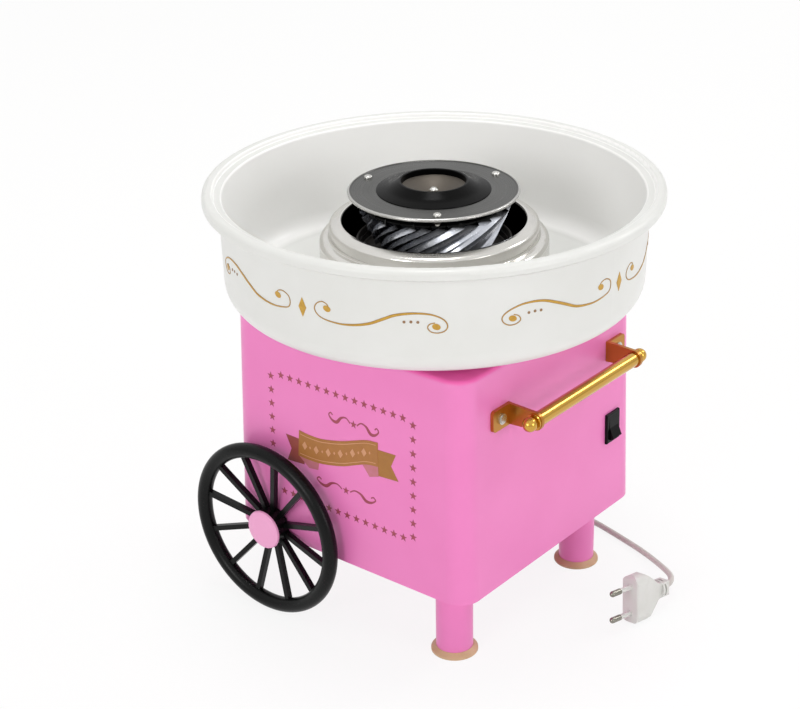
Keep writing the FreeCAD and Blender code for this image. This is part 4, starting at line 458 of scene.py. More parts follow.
PALE_INK = Finish("pale_ink", (206, 150, 112), (200, 144, 104), (0.42, 0.54), cloud=200.0,
                  grain=2600.0)


def dress(finish: Finish, *names: str) -> None:
    """Give CAD nodes their finish.

    Args:
        finish: the surface.
        names: the nodes.
    """
    for name in names:
        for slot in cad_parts[name].material_slots:
            slot.material = finish.material()
        LOG.info("dressed %s in %s", name, finish.name)


def new_piece(name: str, points: list[Vector], faces: list[tuple[int, ...]], finish: Finish,
              body: str, smooth: bool = False) -> bpy.types.Object:
    """Make a mesh piece that rides on a CAD body.

    Args:
        name: the piece's name.
        points: its corners.
        faces: its faces, as numbers of corners.
        finish: its surface.
        body: the CAD body that it rides on.
        smooth: whether its faces are shaded smooth.

    Returns:
        The piece.
    """
    mesh = bpy.data.meshes.new(name)
    mesh.from_pydata(points, [], faces)
    mesh.update()
    mesh.validate()
    mesh.materials.append(finish.material())
    for face in mesh.polygons:
        face.use_smooth = smooth
    if smooth:
        mesh.set_sharp_from_angle(angle=SHARP_EDGE)
    piece = bpy.data.objects.new(name, mesh)
    bpy.context.scene.collection.objects.link(piece)
    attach(piece, body)
    LOG.info("made %s, %d faces", name, len(faces))
    return piece


# ---------------------------------------------------------------- studio
@dataclass
class Studio:
    """Camera, lamps, world and floor."""

    azimuth: float = 39.27
    elevation: float = 25.19
    roll: float = -1.11
    lens: float = 87.06
    sensor: float = 36.0
    eye: Place = (0.70327, -0.89662, 0.69909)
    clip: Flat = (0.01, 200.0)
    aim_height: float = 0.15
    room_tone: Tone = (255, 253, 250)
    horizon_tone: Tone = (205, 205, 206)
    horizon_blend: float = 0.45
    world_level: float = 0.62
    floor_rings: tuple[float, ...] = (0.5, 2.0, 8.0, 40.0)
    floor_spokes: int = 48
    floor_tones: tuple[Tone, Tone] = ((249, 249, 249), (252, 252, 252))
    floor_cloud: float = 3.0
    floor_glow: float = 0.86
    # lamps as name, place, size across and watts
    lamps: tuple[tuple[str, Place, float, float], ...] = (
        ("key_lamp", (0.1, -2.6, 1.1), 1.1, 16.0),
        ("side_lamp", (2.7, 0.1, 0.9), 1.2, 14.0),
        ("top_lamp", (-0.1, 0.1, 2.8), 1.0, 24.0),
        ("back_lamp", (1.15, 2.3, 2.1), 0.8, 13.0),
    )

    def make_camera(self) -> None:
        """Place the camera."""
        azimuth, elevation = math.radians(self.azimuth), math.radians(self.elevation)
        back = Vector((math.sin(azimuth) * math.cos(elevation),
                       -math.cos(azimuth) * math.cos(elevation), math.sin(elevation)))
        level = Vector((math.cos(azimuth), math.sin(azimuth), 0))
        above = back.cross(level)
        turn = math.radians(self.roll)
        right = level * math.cos(turn) + above * math.sin(turn)
        up = above * math.cos(turn) - level * math.sin(turn)
        camera = bpy.data.cameras.new("camera")
        camera.sensor_width, camera.lens = self.sensor, self.lens
        camera.clip_start, camera.clip_end = self.clip
        holder = bpy.data.objects.new("camera", camera)
        holder.matrix_world = Matrix.LocRotScale(
            Vector(self.eye), Matrix((right, up, back)).transposed(), None)
        bpy.context.scene.collection.objects.link(holder)
        bpy.context.scene.camera = holder

    def make_lamps(self) -> None:
        """Hang the soft lamps, each facing the middle of the cart."""
        for name, place, size, power in self.lamps:
            lamp = bpy.data.lights.new(name, "AREA")
            lamp.shape = "DISK"
            lamp.size, lamp.energy = size, power
            holder = bpy.data.objects.new(name, lamp)
            holder.location = place
            aim = Vector((0, 0, self.aim_height)) - Vector(place)
            holder.rotation_euler = aim.to_track_quat("-Z", "Y").to_euler()
            bpy.context.scene.collection.objects.link(holder)

    def seen_share(self, nodes: bpy.types.Nodes,
                   links: bpy.types.NodeLinks) -> bpy.types.NodeSocket:
        """Tell the rays that show a backdrop from those that light the cart.

        Args:
            nodes: the shader's nodes.
            links: the shader's links.

        Returns:
            A value of 1 for camera, glossy and transmission rays.
        """
        path = nodes.new("ShaderNodeLightPath")
        value = path.outputs["Is Camera Ray"]
        for kind in ("Is Glossy Ray", "Is Transmission Ray"):
            most = nodes.new("ShaderNodeMath")
            most.operation = "MAXIMUM"
            links.new(value, most.inputs[0])
            links.new(path.outputs[kind], most.inputs[1])
            value = most.outputs[0]
        return value

    def make_world(self) -> None:
        """Light the room evenly, with a white backdrop that greys softly to the horizon."""
        world = bpy.data.worlds.new("studio")
        bpy.context.scene.world = world
        world.use_nodes = True
        nodes, links = world.node_tree.nodes, world.node_tree.links
        light = nodes["Background"]
        light.inputs["Color"].default_value = linear(self.room_tone)
        light.inputs["Strength"].default_value = self.world_level
        split = nodes.new("ShaderNodeSeparateXYZ")
        links.new(nodes.new("ShaderNodeTexCoord").outputs["Generated"], split.inputs[0])
        ramp = nodes.new("ShaderNodeValToRGB")
        ramp.color_ramp.elements[0].color = linear(self.horizon_tone)
        ramp.color_ramp.elements[1].position = self.horizon_blend
        ramp.color_ramp.elements[1].color = (1, 1, 1, 1)
        links.new(split.outputs["Z"], ramp.inputs["Fac"])
        shown = nodes.new("ShaderNodeBackground")
        links.new(ramp.outputs["Color"], shown.inputs["Color"])
        mix = nodes.new("ShaderNodeMixShader")
        links.new(self.seen_share(nodes, links), mix.inputs[0])
        links.new(light.outputs[0], mix.inputs[1])
        links.new(shown.outputs[0], mix.inputs[2])
        links.new(mix.outputs[0], nodes["World Output"].inputs["Surface"])

    def floor_mesh(self) -> bpy.types.Mesh:
        """Make the round floor in rings that widen outwards.

        Returns:
            The floor's mesh.
        """
        spokes = self.floor_spokes
        points = [Vector((reach * math.cos(k * math.tau / spokes),
                          reach * math.sin(k * math.tau / spokes), 0))
                  for reach in self.floor_rings for k in range(spokes)] + [Vector((0, 0, 0))]
        faces = [(len(points) - 1, k, (k + 1) % spokes) for k in range(spokes)]
        for ring in range(len(self.floor_rings) - 1):
            for k in range(spokes):
                inner, nearby = ring * spokes + k, ring * spokes + (k + 1) % spokes
                faces.append((inner, inner + spokes, nearby + spokes, nearby))
        mesh = bpy.data.meshes.new("floor")
        mesh.from_pydata(points, [], faces)
        return mesh

    def floor_material(self) -> bpy.types.Material:
        """Make the floor pale where it is seen, and let it keep the cart's shadow.

        Returns:
            The floor's material.
        """
        material = bpy.data.materials.new("pale_floor")
        material.use_nodes = True
        nodes, links = material.node_tree.nodes, material.node_tree.links
        nodes.remove(nodes["Principled BSDF"])
        cloth = nodes.new("ShaderNodeBsdfDiffuse")
        noise = nodes.new("ShaderNodeTexNoise")
        noise.inputs["Scale"].default_value = self.floor_cloud
        ramp = nodes.new("ShaderNodeValToRGB")
        for element, tone in zip(ramp.color_ramp.elements, self.floor_tones):
            element.color = linear(tone)
        links.new(noise.outputs["Fac"], ramp.inputs["Fac"])
        links.new(ramp.outputs["Color"], cloth.inputs["Color"])
        glow = nodes.new("ShaderNodeEmission")
        share = nodes.new("ShaderNodeMath")
        share.operation = "MULTIPLY"
        share.inputs[1].default_value = self.floor_glow
        links.new(self.seen_share(nodes, links), share.inputs[0])
        mix = nodes.new("ShaderNodeMixShader")
        links.new(share.outputs[0], mix.inputs[0])
        links.new(cloth.outputs[0], mix.inputs[1])
        links.new(glow.outputs[0], mix.inputs[2])
        links.new(mix.outputs[0], nodes["Material Output"].inputs["Surface"])
        return material

    def make_floor(self) -> None:
        """Lay the floor."""
        mesh = self.floor_mesh()
        mesh.materials.append(self.floor_material())
        floor = bpy.data.objects.new("floor", mesh)
        bpy.context.scene.collection.objects.link(floor)

    def build(self) -> None:
        """Set up the studio."""
        bpy.context.scene.view_settings.view_transform = "Standard"
        self.make_camera()
        self.make_lamps()
        self.make_world()
        self.make_floor()
        LOG.info("studio is up")


# ---------------------------------------------------------------- mains cord and plug
@dataclass
class MainsCord:
    """The lead out of the housing, its put-away coil behind the cart, and the plug."""

    diameter: float = 0.004
    length: float = 1.0532
    lead: tuple[Place, ...] = (
        (0.05000, 0.115287, 0.062899), (0.05000, 0.127784, 0.063148),
        (0.05000, 0.13920, 0.05670), (0.05030, 0.14540, 0.04530),
        (0.04980, 0.14580, 0.02420), (0.04400, 0.14780, 0.01260),
        (0.03283, 0.15199, 0.00600), (0.02193, 0.15596, 0.00600),
    )
    tail: tuple[Place, ...] = (
        (0.01400, 0.11100, 0.00200), (0.02560, 0.11100, 0.00200),
        (0.03850, 0.11400, 0.00200), (0.05100, 0.11540, 0.00200),
        (0.06400, 0.11220, 0.00200), (0.07800, 0.10830, 0.00200),
        (0.09770, 0.10220, 0.00230), (0.11450, 0.09420, 0.00370),
        (0.12730, 0.08520, 0.00660), (0.13760, 0.07640, 0.01000),
        (0.14400, 0.06860, 0.01260), (0.146456, 0.061717, 0.012560),
        (0.145723, 0.056808, 0.013170),
    )
    coil_centre: Flat = (-0.002, 0.137)
    coil_start: float = 70.0
    points_per_turn: int = 15
    # turns as (how long, in turns; radius; height)
    turns: tuple[tuple[float, float, float], ...] = (
        (1.0, 0.026, 0.006), (1.0, 0.022, 0.006), (1.0, 0.018, 0.006),
        (0.6667, 0.018, 0.002), (1.0, 0.022, 0.002), (0.8889, 0.026, 0.002),
    )

    def coil_points(self) -> list[Place]:
        """Wind the coil: three turns inwards above, three outwards on the floor.

        Returns:
            The coil's control points.
        """
        points = []
        step = 360 / self.points_per_turn
        # the smooth line runs inside its control points by this share
        inside = 0.75 + 0.25 * math.cos(math.radians(step))
        angle = self.coil_start
        for share, radius, height in self.turns:
            for _ in range(round(share * self.points_per_turn)):
                turn = math.radians(angle)
                points.append((self.coil_centre[0] + radius / inside * math.cos(turn),
                               self.coil_centre[1] + radius / inside * math.sin(turn), height))
                angle += step
        return points

    def make_line(self) -> bpy.types.Object:
        """Lay the cord as one smooth spline.

        Returns:
            The cord.
        """
        route = [*self.lead, *self.coil_points(), *self.tail]
        curve = bpy.data.curves.new("mains_cord", "CURVE")
        curve.dimensions = "3D"
        spline = curve.splines.new("NURBS")
        spline.points.add(len(route) - 1)
        for point, place in zip(spline.points, route):
            point.co = (*place, 1.0)
        spline.order_u = 3
        spline.use_endpoint_u = True
        spline.resolution_u = 8
        curve.bevel_depth = self.diameter / 2
        curve.bevel_resolution = 5
        curve.use_fill_caps = True
        curve.materials.append(SHEATH.material())
        cord = bpy.data.objects.new("mains_cord", curve)
        bpy.context.scene.collection.objects.link(cord)
        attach(cord, "machine")
        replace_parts(cord, "cord_lead", "cord_coil", "cord_tail")
        return cord

    def build(self) -> None:
        """Make the cord and dress what goes with it."""
        cord = self.make_line()
        dress(PLUG_SHELL, "plug_body", "cord_gland")
        dress(PIN, "plug_pins")
        dress(SHEATH, "inner_lead")
        LOG.info("made the mains cord")


# ---------------------------------------------------------------- printing
@dataclass
class Shape:
    """A flat printed shape: its corners and its faces."""

    points: list[Flat]
    faces: list[tuple[int, ...]]


def in_metres(places: Iterable[Flat]) -> list[Flat]:
    """Turn flat places in millimetres into metres."""
    return [(across * MM, up * MM) for across, up in places]


def fan(outline: list[Flat], middle: Flat) -> Shape:
    """Fill an outline from its middle.

    Args:
        outline: the corners, in order.
        middle: a point that sees all of them.

    Returns:
        The filled shape.
    """
    count = len(outline)
    return Shape([*outline, middle], [(k, (k + 1) % count, count) for k in range(count)])


def diamond(middle: Flat, half: Flat) -> Shape:
    """Draw an upright diamond.

    Args:
        middle: its middle.
        half: its half width and half height.

    Returns:
        The diamond.
    """
    across, up = middle
    wide, high = half
    return fan([(across + wide, up), (across, up + high), (across - wide, up),
                (across, up - high)], middle)


def star(middle: Flat, radius: float) -> Shape:
    """Draw an upright five-pointed star.

    Args:
        middle: its middle.
        radius: middle to a tip.

    Returns:
        The star.
    """
    outline = []
    for k in range(10):
        reach = radius if k % 2 == 0 else radius * STAR_WAIST
        angle = math.radians(90 + 36 * k)
        outline.append((middle[0] + reach * math.cos(angle), middle[1] + reach * math.sin(angle)))
    return fan(outline, middle)


def oval(middle: Flat, half: Flat, turn: float = 0.0, corners: int = 20) -> Shape:
    """Draw a filled oval.

    Args:
        middle: its middle.
        half: its half width and half height.
        turn: degrees that it leans.
        corners: how many corners it has.

    Returns:
        The oval.
    """
    lean = math.radians(turn)
    outline = []
    for k in range(corners):
        x, y = (half[0] * math.cos(k * math.tau / corners),
                half[1] * math.sin(k * math.tau / corners))
        outline.append((middle[0] + x * math.cos(lean) - y * math.sin(lean),
                        middle[1] + x * math.sin(lean) + y * math.cos(lean)))
    return fan(outline, middle)


def smoothed(points: list[Flat], steps: int) -> list[Flat]:
    """Draw a smooth line through points.

    Args:
        points: the points that it goes through.
        steps: how many pieces each stretch is cut into.

    Returns:
        The points of the smooth line.
    """
    line = []
    for k in range(len(points) - 1):
        before, start = points[max(k - 1, 0)], points[k]
        end, after = points[k + 1], points[min(k + 2, len(points) - 1)]
        for j in range(steps):
            t = j / steps
            line.append(tuple(
                0.5 * (2 * b + (c - a) * t + (2 * a - 5 * b + 4 * c - d) * t ** 2
                       + (3 * b - a - 3 * c + d) * t ** 3)
                for a, b, c, d in zip(before, start, end, after)))
    return [*line, points[-1]]


def stroke(line: list[Flat], thin: float, thick: float) -> Shape:
    """Draw a line that swells from its ends to its middle.

    Args:
        line: the points that it follows.
        thin: half its width at the ends.
        thick: half its width in the middle.

    Returns:
        The stroke.
    """
    gone = [0.0]
    for here, there in zip(line, line[1:]):
        gone.append(gone[-1] + math.dist(here, there))
    points, faces = [], []
    for k, (x, y) in enumerate(line):
        back, ahead = line[max(k - 1, 0)], line[min(k + 1, len(line) - 1)]
        run = math.dist(back, ahead)
        side = ((back[1] - ahead[1]) / run, (ahead[0] - back[0]) / run)
        swell = math.sin(math.pi * gone[k] / gone[-1]) ** 4
        half = thin + (thick - thin) * swell
        points += [(x + side[0] * half, y + side[1] * half),
                   (x - side[0] * half, y - side[1] * half)]
        if k:
            faces.append((2 * k - 2, 2 * k - 1, 2 * k + 1, 2 * k))
    return Shape(points, faces)


def between(upper: list[Flat], lower: list[Flat]) -> Shape:
    """Fill the space between two lines of as many points.

    Args:
        upper: the line above.
        lower: the line below.

    Returns:
        The filled shape.
    """
    points = [point for pair in zip(upper, lower) for point in pair]
    faces = [(2 * k, 2 * k + 1, 2 * k + 3, 2 * k + 2) for k in range(len(upper) - 1)]
    return Shape(points, faces)


class Wall:
    """A wall that takes print: across, up and out in metres to a place."""

    body: str
    slot: str

    def place(self, across: float, up: float, out: float) -> Vector:
        """Find a place on the wall."""
        raise NotImplementedError


@dataclass
class BowlWall(Wall):
    """The bowl's outer wall, a slow cone."""

    body: str = "bowl"
    slot: str = "white_plastic"
    low: float = 0.2095
    low_radius: float = 0.1332
    slope: float = 0.0017 / 0.0655
    unrolled_radius: float = 0.1341

    def place(self, across: float, up: float, out: float) -> Vector:
        """Find a place on the wall.

        Args:
            across: the arc from the +X side.
            up: the height above the floor.
            out: how far it stands off the wall.

        Returns:
            The place.
        """
        reach = self.low_radius + self.slope * (up - self.low) + out
        angle = across / self.unrolled_radius
        return Vector((reach * math.cos(angle), reach * math.sin(angle), up))


@dataclass
class CabinetWall(Wall):
    """The housing's decorated face, which leans in a little as it rises."""

    body: str = "machine"
    slot: str = "pink_plastic"
    low: float = 0.052
    half_low: float = 0.0955
    slope: float = 0.003 / 0.1505

    def place(self, across: float, up: float, out: float) -> Vector:
        """Find a place on the wall, where across is X."""
        return Vector((across, -(self.half_low - self.slope * (up - self.low) + out), up))


def printed(name: str, wall: Wall, shapes: list[Shape], finish: Finish,
            layer: int = 1) -> bpy.types.Object:
    """Print shapes on a wall as a thin closed film of ink.

    Args:
        name: the piece's name.
        wall: what it is printed on.
        shapes: the flat shapes.
        finish: the ink.
        layer: 1 for ink on the wall, and more for ink on ink.

    Returns:
        The piece.
    """
    points, faces = [], []
    for shape in shapes:
        first, count = len(points), len(shape.points)
        points += [wall.place(x, y, INK_FILM * layer) for x, y in shape.points]
        points += [wall.place(x, y, -INK_ROOT) for x, y in shape.points]
        edges = dict.fromkeys(edge for face in shape.faces
                              for edge in zip(face, face[1:] + face[:1]))
        for face in shape.faces:
            faces.append(tuple(first + k for k in face))
            faces.append(tuple(first + count + k for k in reversed(face)))
        for a, b in edges:
            if (b, a) not in edges:
                faces.append((first + b, first + a, first + count + a, first + count + b))
    return new_piece(name, points, faces, finish, wall.body)


# ---------------------------------------------------------------- bowl
@dataclass
class Bowl:
    """The white bowl with its gold scrolls."""

    wall: BowlWall = field(default_factory=BowlWall)
    quarter: float = 90.0
    # half widths of a line at its ends and in its middle
    outline_pen: Flat = (0.00034, 0.00092)
    gold_pen: Flat = (0.00016, 0.00070)
    line_steps: int = 6
    # places as degrees from the +X side and millimetres above the floor
    first_scroll: tuple[Flat, ...] = (
        (-79.10, 248.35), (-79.51, 251.32), (-80.92, 252.56), (-82.48, 250.79),
        (-83.25, 247.62), (-82.72, 244.35), (-81.11, 241.97), (-78.26, 240.76),
        (-74.94, 240.49), (-71.18, 241.58), (-68.04, 243.51), (-64.95, 246.76),
        (-61.92, 249.81), (-58.46, 251.36), (-55.04, 251.56), (-52.13, 250.45),
        (-49.71, 247.47), (-48.84, 243.65), (-49.49, 240.57), (-51.20, 239.28),
        (-52.91, 240.08), (-53.72, 242.59), (-53.23, 244.85), (-51.91, 245.70),
    )
    second_scroll: tuple[Flat, ...] = (
        (-5.69, 248.57), (-5.17, 251.37), (-3.44, 252.53), (-1.56, 250.72),
        (-0.98, 247.23), (-1.54, 243.53), (-3.53, 241.88), (-6.67, 240.88),
        (-9.88, 241.11), (-13.87, 242.65), (-17.61, 246.46), (-20.69, 249.51),
        (-23.64, 251.98), (-26.48, 253.00), (-29.60, 252.77), (-32.25, 251.14),
        (-34.48, 248.36), (-35.29, 245.50), (-34.84, 242.66), (-33.34, 240.61),
        (-31.46, 240.97), (-30.40, 243.06), (-30.91, 245.69), (-32.24, 247.11),
    )
    eyes: tuple[Flat, ...] = ((-79.6, 248.6), (-51.6, 243.2), (-5.2, 248.7), (-32.5, 244.6))
    dots: tuple[Flat, ...] = ((-59.5, 246.0), (-57.8, 246.2), (-56.1, 246.1),
                              (-28.2, 246.6), (-26.5, 246.8), (-24.8, 246.6))
    diamond_place: Flat = (-87.0, 245.9)
    diamond_half: Flat = (0.0028, 0.0062)
    eye_half: Flat = (0.0025, 0.0019)
    eye_lean: float = -20.0
    dot_half: Flat = (0.0009, 0.0009)
    dot_corners: int = 12

    def spot(self, place: Flat, quarter: int) -> Flat:
        """Turn degrees and a height in millimetres into a place on the unrolled wall."""
        angle = math.radians(place[0] + self.quarter * quarter)
        return (self.wall.unrolled_radius * angle, place[1] * MM)

    def build(self) -> None:
        """Dress the bowl and print its ornament all round."""
        dress(WHITE_WITH_PAINTED_INNER_LIGHT, "bowl")
        lines, fills, small = [], [], []
        for quarter in range(4):
            for scroll in (self.first_scroll, self.second_scroll):
                line = smoothed([self.spot(place, quarter) for place in scroll],
                                self.line_steps)
                lines.append(stroke(line, *self.outline_pen))
                fills.append(stroke(line, *self.gold_pen))
            for eye in self.eyes:
                fills.append(oval(self.spot(eye, quarter), self.eye_half, self.eye_lean))
            fills.append(diamond(self.spot(self.diamond_place, quarter), self.diamond_half))
            for dot in self.dots:
                small.append(oval(self.spot(dot, quarter), self.dot_half,
                                  corners=self.dot_corners))
        printed("scroll_outline", self.wall, lines, BROWN_INK)
        printed("scroll_gold", self.wall, fills, GOLD_INK, 2)
        printed("scroll_dots", self.wall, small, BROWN_INK, 2)


# ---------------------------------------------------------------- cabinet
@dataclass
class Cabinet:
    """The pink housing, its cover and the print on its front."""

    wall: CabinetWall = field(default_factory=CabinetWall)
    star_radius: float = 0.0029
    # the frame of stars, in millimetres: X of its rows and columns, then their heights
    row_start: float = -51.0
    row_length: float = 98.6
    row_stars: int = 14
    row_heights: Flat = (169.1, 86.7)
    column_places: Flat = (-59.7, 55.4)
    column_top: float = 166.4
    column_pitch: float = 9.6
    column_stars: int = 9
    # the ribbon, in millimetres, and a middle that each filled piece of it is drawn from
    ribbon_top: tuple[Flat, ...] = ((-36.8, 135.0), (-30.0, 134.2), (-20.0, 134.2),
                                    (-10.0, 136.0), (0.0, 138.6), (10.0, 142.2),
                                    (19.0, 145.2), (27.9, 146.2))
    ribbon_bottom: tuple[Flat, ...] = ((-37.8, 116.7), (-30.0, 116.3), (-20.0, 116.6),
                                       (-10.0, 118.4), (0.0, 121.0), (10.0, 125.0),
                                       (19.0, 128.4), (27.8, 129.5))
    ribbon_steps: int = 4
    left_tail: tuple[Flat, ...] = ((-33.0, 128.6), (-48.3, 128.9), (-43.8, 119.8),
                                   (-47.4, 110.6), (-33.0, 111.6))
    left_tail_middle: Flat = (-38.0, 119.6)
    right_tail: tuple[Flat, ...] = ((24.0, 141.2), (42.0, 142.0), (38.2, 133.2),
                                    (44.0, 124.4), (24.0, 123.0))
    right_tail_middle: Flat = (33.0, 133.0)
    left_fold: tuple[Flat, ...] = ((-36.0, 117.6), (-37.2, 116.6), (-29.0, 110.4),
                                   (-21.4, 111.4), (-20.4, 117.2))
    left_fold_middle: Flat = (-29.0, 115.0)
    right_fold: tuple[Flat, ...] = ((15.0, 127.6), (27.9, 129.8), (28.2, 122.8), (21.0, 120.4))
    right_fold_middle: Flat = (23.5, 125.5)
    border_shares: Flat = (0.88, 0.12)
    border_pen: Flat = (0.00022, 0.00030)
    # half heights of the row's large and small diamonds, and their width as a share of that
    row_large: float = 0.0030
    row_small: float = 0.0011
    row_slimness: float = 0.7
    # half a flourish as shares of its reach and its lift, from the middle outwards
    flourish: tuple[Flat, ...] = ((0.14, 0.0), (0.30, 1.0), (0.50, 0.6), (0.68, -0.9),
                                  (0.86, -0.8), (1.0, 0.3), (0.93, 1.1), (0.85, 0.6))
    # flourishes as middle, reach and lift, in millimetres
    flourishes: tuple[tuple[Flat, float, float], ...] = (
        ((8.5, 152.6), 20.0, 2.6), ((1.5, 104.2), 24.0, 2.2))
    flourish_steps: int = 5
    flourish_pen: Flat = (0.00042, 0.00110)
    flourish_star: float = 0.0028

    def star_places(self) -> list[Flat]:
        """Place the frame of stars.

        Returns:
            The stars' middles.
        """
        rows = [(self.row_start + k * self.row_length / (self.row_stars - 1), height)
                for height in self.row_heights for k in range(self.row_stars)]
        columns = [(across, self.column_top - k * self.column_pitch)
                   for across in self.column_places for k in range(self.column_stars)]
        return in_metres(rows + columns)

    def inset_line(self, share: float) -> list[Flat]:
        """Find a line along the ribbon.

        Args:
            share: how far up the ribbon's height it runs, 0 below and 1 above.

        Returns:
            The line.
        """
        upper = smoothed(list(self.ribbon_top), self.ribbon_steps)
        lower = smoothed(list(self.ribbon_bottom), self.ribbon_steps)
        return in_metres((a[0] * share + b[0] * (1 - share), a[1] * share + b[1] * (1 - share))
                         for a, b in zip(upper, lower))

    def filled(self, outline: tuple[Flat, ...], middle: Flat) -> Shape:
        """Fill an outline in millimetres from its middle."""
        return fan(in_metres(outline), in_metres([middle])[0])

    def print_ribbon(self) -> None:
        """Print the ribbon with its folds, tails and a plain row of ornament."""
        printed("ribbon_left_tail", self.wall,
                [self.filled(self.left_tail, self.left_tail_middle)], DARK_TAIL_INK)
        printed("ribbon_right_tail", self.wall,
                [self.filled(self.right_tail, self.right_tail_middle)], TAIL_INK)
        folds = [self.filled(self.left_fold, self.left_fold_middle),
                 self.filled(self.right_fold, self.right_fold_middle)]
        printed("ribbon_folds", self.wall, folds, FOLD_INK, 2)
        printed("ribbon_band", self.wall, [between(self.inset_line(1.0), self.inset_line(0.0))],
                RIBBON_INK, 3)
        borders = [stroke(self.inset_line(share)[1:-1], *self.border_pen)
                   for share in self.border_shares]
        middle = self.inset_line(0.5)
        row = []
        for k in range(3, len(middle) - 3, 2):
            half = self.row_large if k % 4 == 3 else self.row_small
            row.append(diamond(middle[k], (half * self.row_slimness, half)))
        printed("ribbon_border", self.wall, borders + row, PALE_INK, 4)

    def print_flourishes(self) -> None:
        """Print a small plain flourish above the ribbon and one below."""
        shapes = []
        for (x, z), reach, lift in self.flourishes:
            for side in (-1, 1):
                bends = [(x + side * out * reach, z + height * lift)
                         for out, height in self.flourish]
                line = in_metres(smoothed(bends, self.flourish_steps))
                shapes.append(stroke(line, *self.flourish_pen))
            shapes.append(star((x * MM, z * MM), self.flourish_star))
        printed("flourishes", self.wall, shapes, ROSE_INK)

    def build(self) -> None:
        """Dress the housing and print its face."""
        dress(PINK_WITH_PAINTED_DECK_SHADE, "housing")
        dress(PINK, "bottom_cover")
        dress(ZINC, "cover_screws")
        stars = [star(place, self.star_radius) for place in self.star_places()]
        printed("star_frame", self.wall, stars, ROSE_INK)
        self.print_ribbon()
        self.print_flourishes()


# ---------------------------------------------------------------- running gear
class RunningGear:
    """Legs, suction feet, wheels and axles."""

    def build(self) -> None:
        """Dress the running gear."""
        dress(PINK, "front_leg_left", "front_leg_right")
        dress(TAN_RUBBER, "suction_foot_left", "suction_foot_right")
        dress(BLACK, "wheel_left", "wheel_right")
        dress(PALE_PINK, "hub_cap_left", "hub_cap_right")
        dress(ZINC, "wheel_axles", "axle_clips", "leg_screws")


def lathed(name: str, outline: list[Flat], finish: Finish, body: str,
           steps: int = 96) -> bpy.types.Object:
    """Turn a closed outline about the Z axis.

    Args:
        name: the piece's name.
        outline: its radii and heights, in order round the section.
        finish: its surface.
        body: the CAD body that it rides on.
        steps: how many faces go round.

    Returns:
        The piece.
    """
    count = len(outline)
    points = [Vector((reach * math.cos(k * math.tau / steps), reach * math.sin(k * math.tau / steps),
                      up)) for k in range(steps) for reach, up in outline]
    faces = []
    for k in range(steps):
        here, there = k * count, (k + 1) % steps * count
        for j in range(count):
            onward = (j + 1) % count
            faces.append((here + j, there + j, there + onward, here + onward))
    return new_piece(name, points, faces, finish, body, smooth=True)


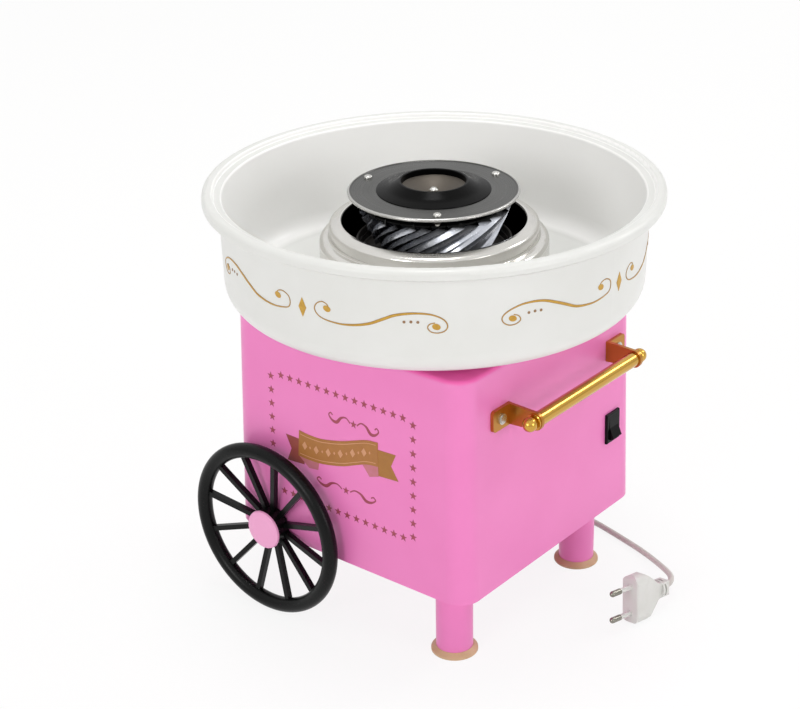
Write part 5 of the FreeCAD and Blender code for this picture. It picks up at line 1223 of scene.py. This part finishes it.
@dataclass
class SpinningHead:
    """The head that melts and throws the sugar, and the ring round it."""

    disc_under: float = 0.2760
    sheet: float = 0.0012
    neck_radius: float = 0.0385
    shoulder: float = 0.2704
    shoulder_radius: float = 0.0465
    shoulder_bulge: float = 0.0004
    flange_radius: float = 0.0506
    foot_low: float = 0.2360
    foot_high: float = 0.2450
    foot_radius: float = 0.0494
    drum_radius: float = 0.0352
    fin_count: int = 30
    fin_sweep: float = 54.0
    fin_foot: Flat = (0.0358, 0.2440)
    fin_tip: Flat = (0.0474, 0.2696)
    fin_width: float = 0.0042
    fin_tilt: float = 46.0
    # how far the tilts of single fins stray, and radians from fin to fin in that stray
    fin_spread: float = 19.0
    fin_wander: float = 2.4
    fin_steps: int = 18

    def make_frame(self) -> bpy.types.Object:
        """Make the waist under the disc, the shoulder, the foot ring and the drum, all dark as
        painted shade.

        Returns:
            The turned frame of the louvres.
        """
        sheet, under = self.sheet, self.disc_under
        upper = [(self.neck_radius, self.shoulder), (self.neck_radius, under - sheet),
                 (self.flange_radius, under - sheet), (self.flange_radius, under),
                 (self.neck_radius - sheet, under),
                 (self.neck_radius - sheet, self.shoulder - sheet),
                 (self.shoulder_radius, self.shoulder - sheet),
                 (self.shoulder_radius + self.shoulder_bulge, self.shoulder - sheet / 2),
                 (self.shoulder_radius, self.shoulder)]
        ring = lathed("louvre_neck", upper, NECK_PAINTED_SHADE_BLACK, "head")
        foot = [(self.foot_radius - sheet, self.foot_high), (self.foot_radius, self.foot_high),
                (self.foot_radius, self.foot_low), (self.foot_radius - sheet, self.foot_low)]
        lathed("louvre_foot", foot, SHADE_DARKENED_STEEL, "head")
        reach, top = self.drum_radius, self.shoulder - sheet
        drum = [(reach - sheet, top), (reach, top), (reach, self.foot_high),
                (reach - sheet, self.foot_high)]
        lathed("louvre_drum", drum, SHADE_DARK_DRUM_STEEL, "head")
        return ring

    def fin_middle(self, number: int, share: float) -> Vector:
        """Find a place on the line that a fin follows.

        Args:
            number: which fin, from 0.
            share: how far up the fin, from 0 to 1.

        Returns:
            The place.
        """
        angle = number * math.tau / self.fin_count + math.radians(self.fin_sweep) * share
        reach = self.fin_foot[0] + (self.fin_tip[0] - self.fin_foot[0]) * share
        up = self.fin_foot[1] + (self.fin_tip[1] - self.fin_foot[1]) * share
        return Vector((reach * math.cos(angle), reach * math.sin(angle), up))

    def fin_section(self, number: int, share: float) -> list[Vector]:
        """Place the four corners of a fin's section.

        Args:
            number: which fin, from 0; each was bent to a slightly other tilt.
            share: how far up the fin, from 0 to 1.

        Returns:
            The corners, in order round the section.
        """
        here, step = self.fin_middle(number, share), 0.01
        along = (self.fin_middle(number, share + step)
                 - self.fin_middle(number, share - step)).normalized()
        outward = Vector((here.x, here.y, 0)).normalized()
        across = along.cross(outward).normalized()
        face = across.cross(along).normalized()
        tilt = math.radians(self.fin_tilt + self.fin_spread * math.sin(self.fin_wander * number))
        wide = (across * math.cos(tilt) + face * math.sin(tilt)) * self.fin_width / 2
        thick = wide.cross(along).normalized() * self.sheet / 4
        return [here - wide - thick, here + wide - thick, here + wide + thick, here - wide + thick]

    def make_fins(self) -> bpy.types.Object:
        """Make the ring of bright pitched fins under the disc, their tops painted dark for the
        disc's shade.

        Returns:
            The fins.
        """
        points, faces = [], []
        for k in range(self.fin_count):
            first = len(points)
            for j in range(self.fin_steps + 1):
                points += self.fin_section(k, j / self.fin_steps)
            for j in range(self.fin_steps):
                low, high = first + 4 * j, first + 4 * j + 4
                faces += [(low + i, low + (i + 1) % 4, high + (i + 1) % 4, high + i)
                          for i in range(4)]
            faces.append((first + 3, first + 2, first + 1, first))
            faces.append(tuple(len(points) - 4 + i for i in range(4)))
        return new_piece("louvre_fins", points, faces, BRIGHT_STEEL_WITH_PAINTED_TOP_SHADE, "head",
                         smooth=True)

    def build(self) -> None:
        """Dress the head and make its louvres."""
        dress(DISC_GREY, "head_disc")
        dress(ENAMEL_WITH_PAINTED_INNER_SHADE, "sugar_funnel")
        dress(DISH, "sugar_dish")
        dress(ZINC, "head_screws", "spinner_nut", "collar_screws")
        dress(SHADE_DARKENED_STEEL, "spinner_pan", "head_lock_nuts", "rotor_shaft")
        dress(POLISHED_WITH_PAINTED_INNER_SHADE, "collar")
        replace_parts(self.make_frame(), "louvre_ring")
        self.make_fins()


class Heater:
    """The pan with its heating element."""

    def build(self) -> None:
        """Dress the heater."""
        # painted shade: the heat pan is dark steel for the shade inside the collar
        dress(SHADE_DARKENED_STEEL, "heat_pan")
        dress(HEATER, "heating_element", "thermal_cutout")
        dress(CERAMIC, "heater_posts", "heater_bushings")


class Motor:
    """The motor in its bracket."""

    def build(self) -> None:
        """Dress the motor."""
        dress(MOTOR_STEEL, "motor_can", "motor_end_cap", "motor_armature", "motor_bracket")
        dress(FERRITE, "motor_magnets")
        dress(BUSH_RUBBER, "motor_bushes")
        dress(ZINC, "motor_screws")


class Handle:
    """The brass bar on its two brackets."""

    def build(self) -> None:
        """Dress the handle."""
        dress(BRASS, "handle_bar", "cap_nut_left", "cap_nut_right")
        dress(BRACKET_BRASS, "handle_bracket_left", "handle_bracket_right")
        dress(ZINC, "bracket_screws", "bracket_nuts")


class Electrics:
    """The rocker switch, the terminal block, the board and the wires."""

    def build(self) -> None:
        """Dress the electrics."""
        dress(SWITCH_BLACK, "switch_body", "rocker")
        dress(ZINC, "switch_terminals", "board_screws")
        dress(TERMINAL, "terminal_block")
        dress(BOARD, "rectifier_board")
        dress(PART_BLACK, "board_parts")
        dress(SLEEVE, "inner_wires")


def main() -> None:
    """Build the studio and every part of the cart."""
    logging.basicConfig(level=logging.INFO, format="%(name)s: %(message)s")
    for part in (Studio(), MainsCord(), Bowl(), Cabinet(), RunningGear(), SpinningHead(),
                 Heater(), Motor(), Handle(), Electrics()):
        part.build()
        LOG.info("%s done", type(part).__name__)


if __name__ == "__main__":
    main()
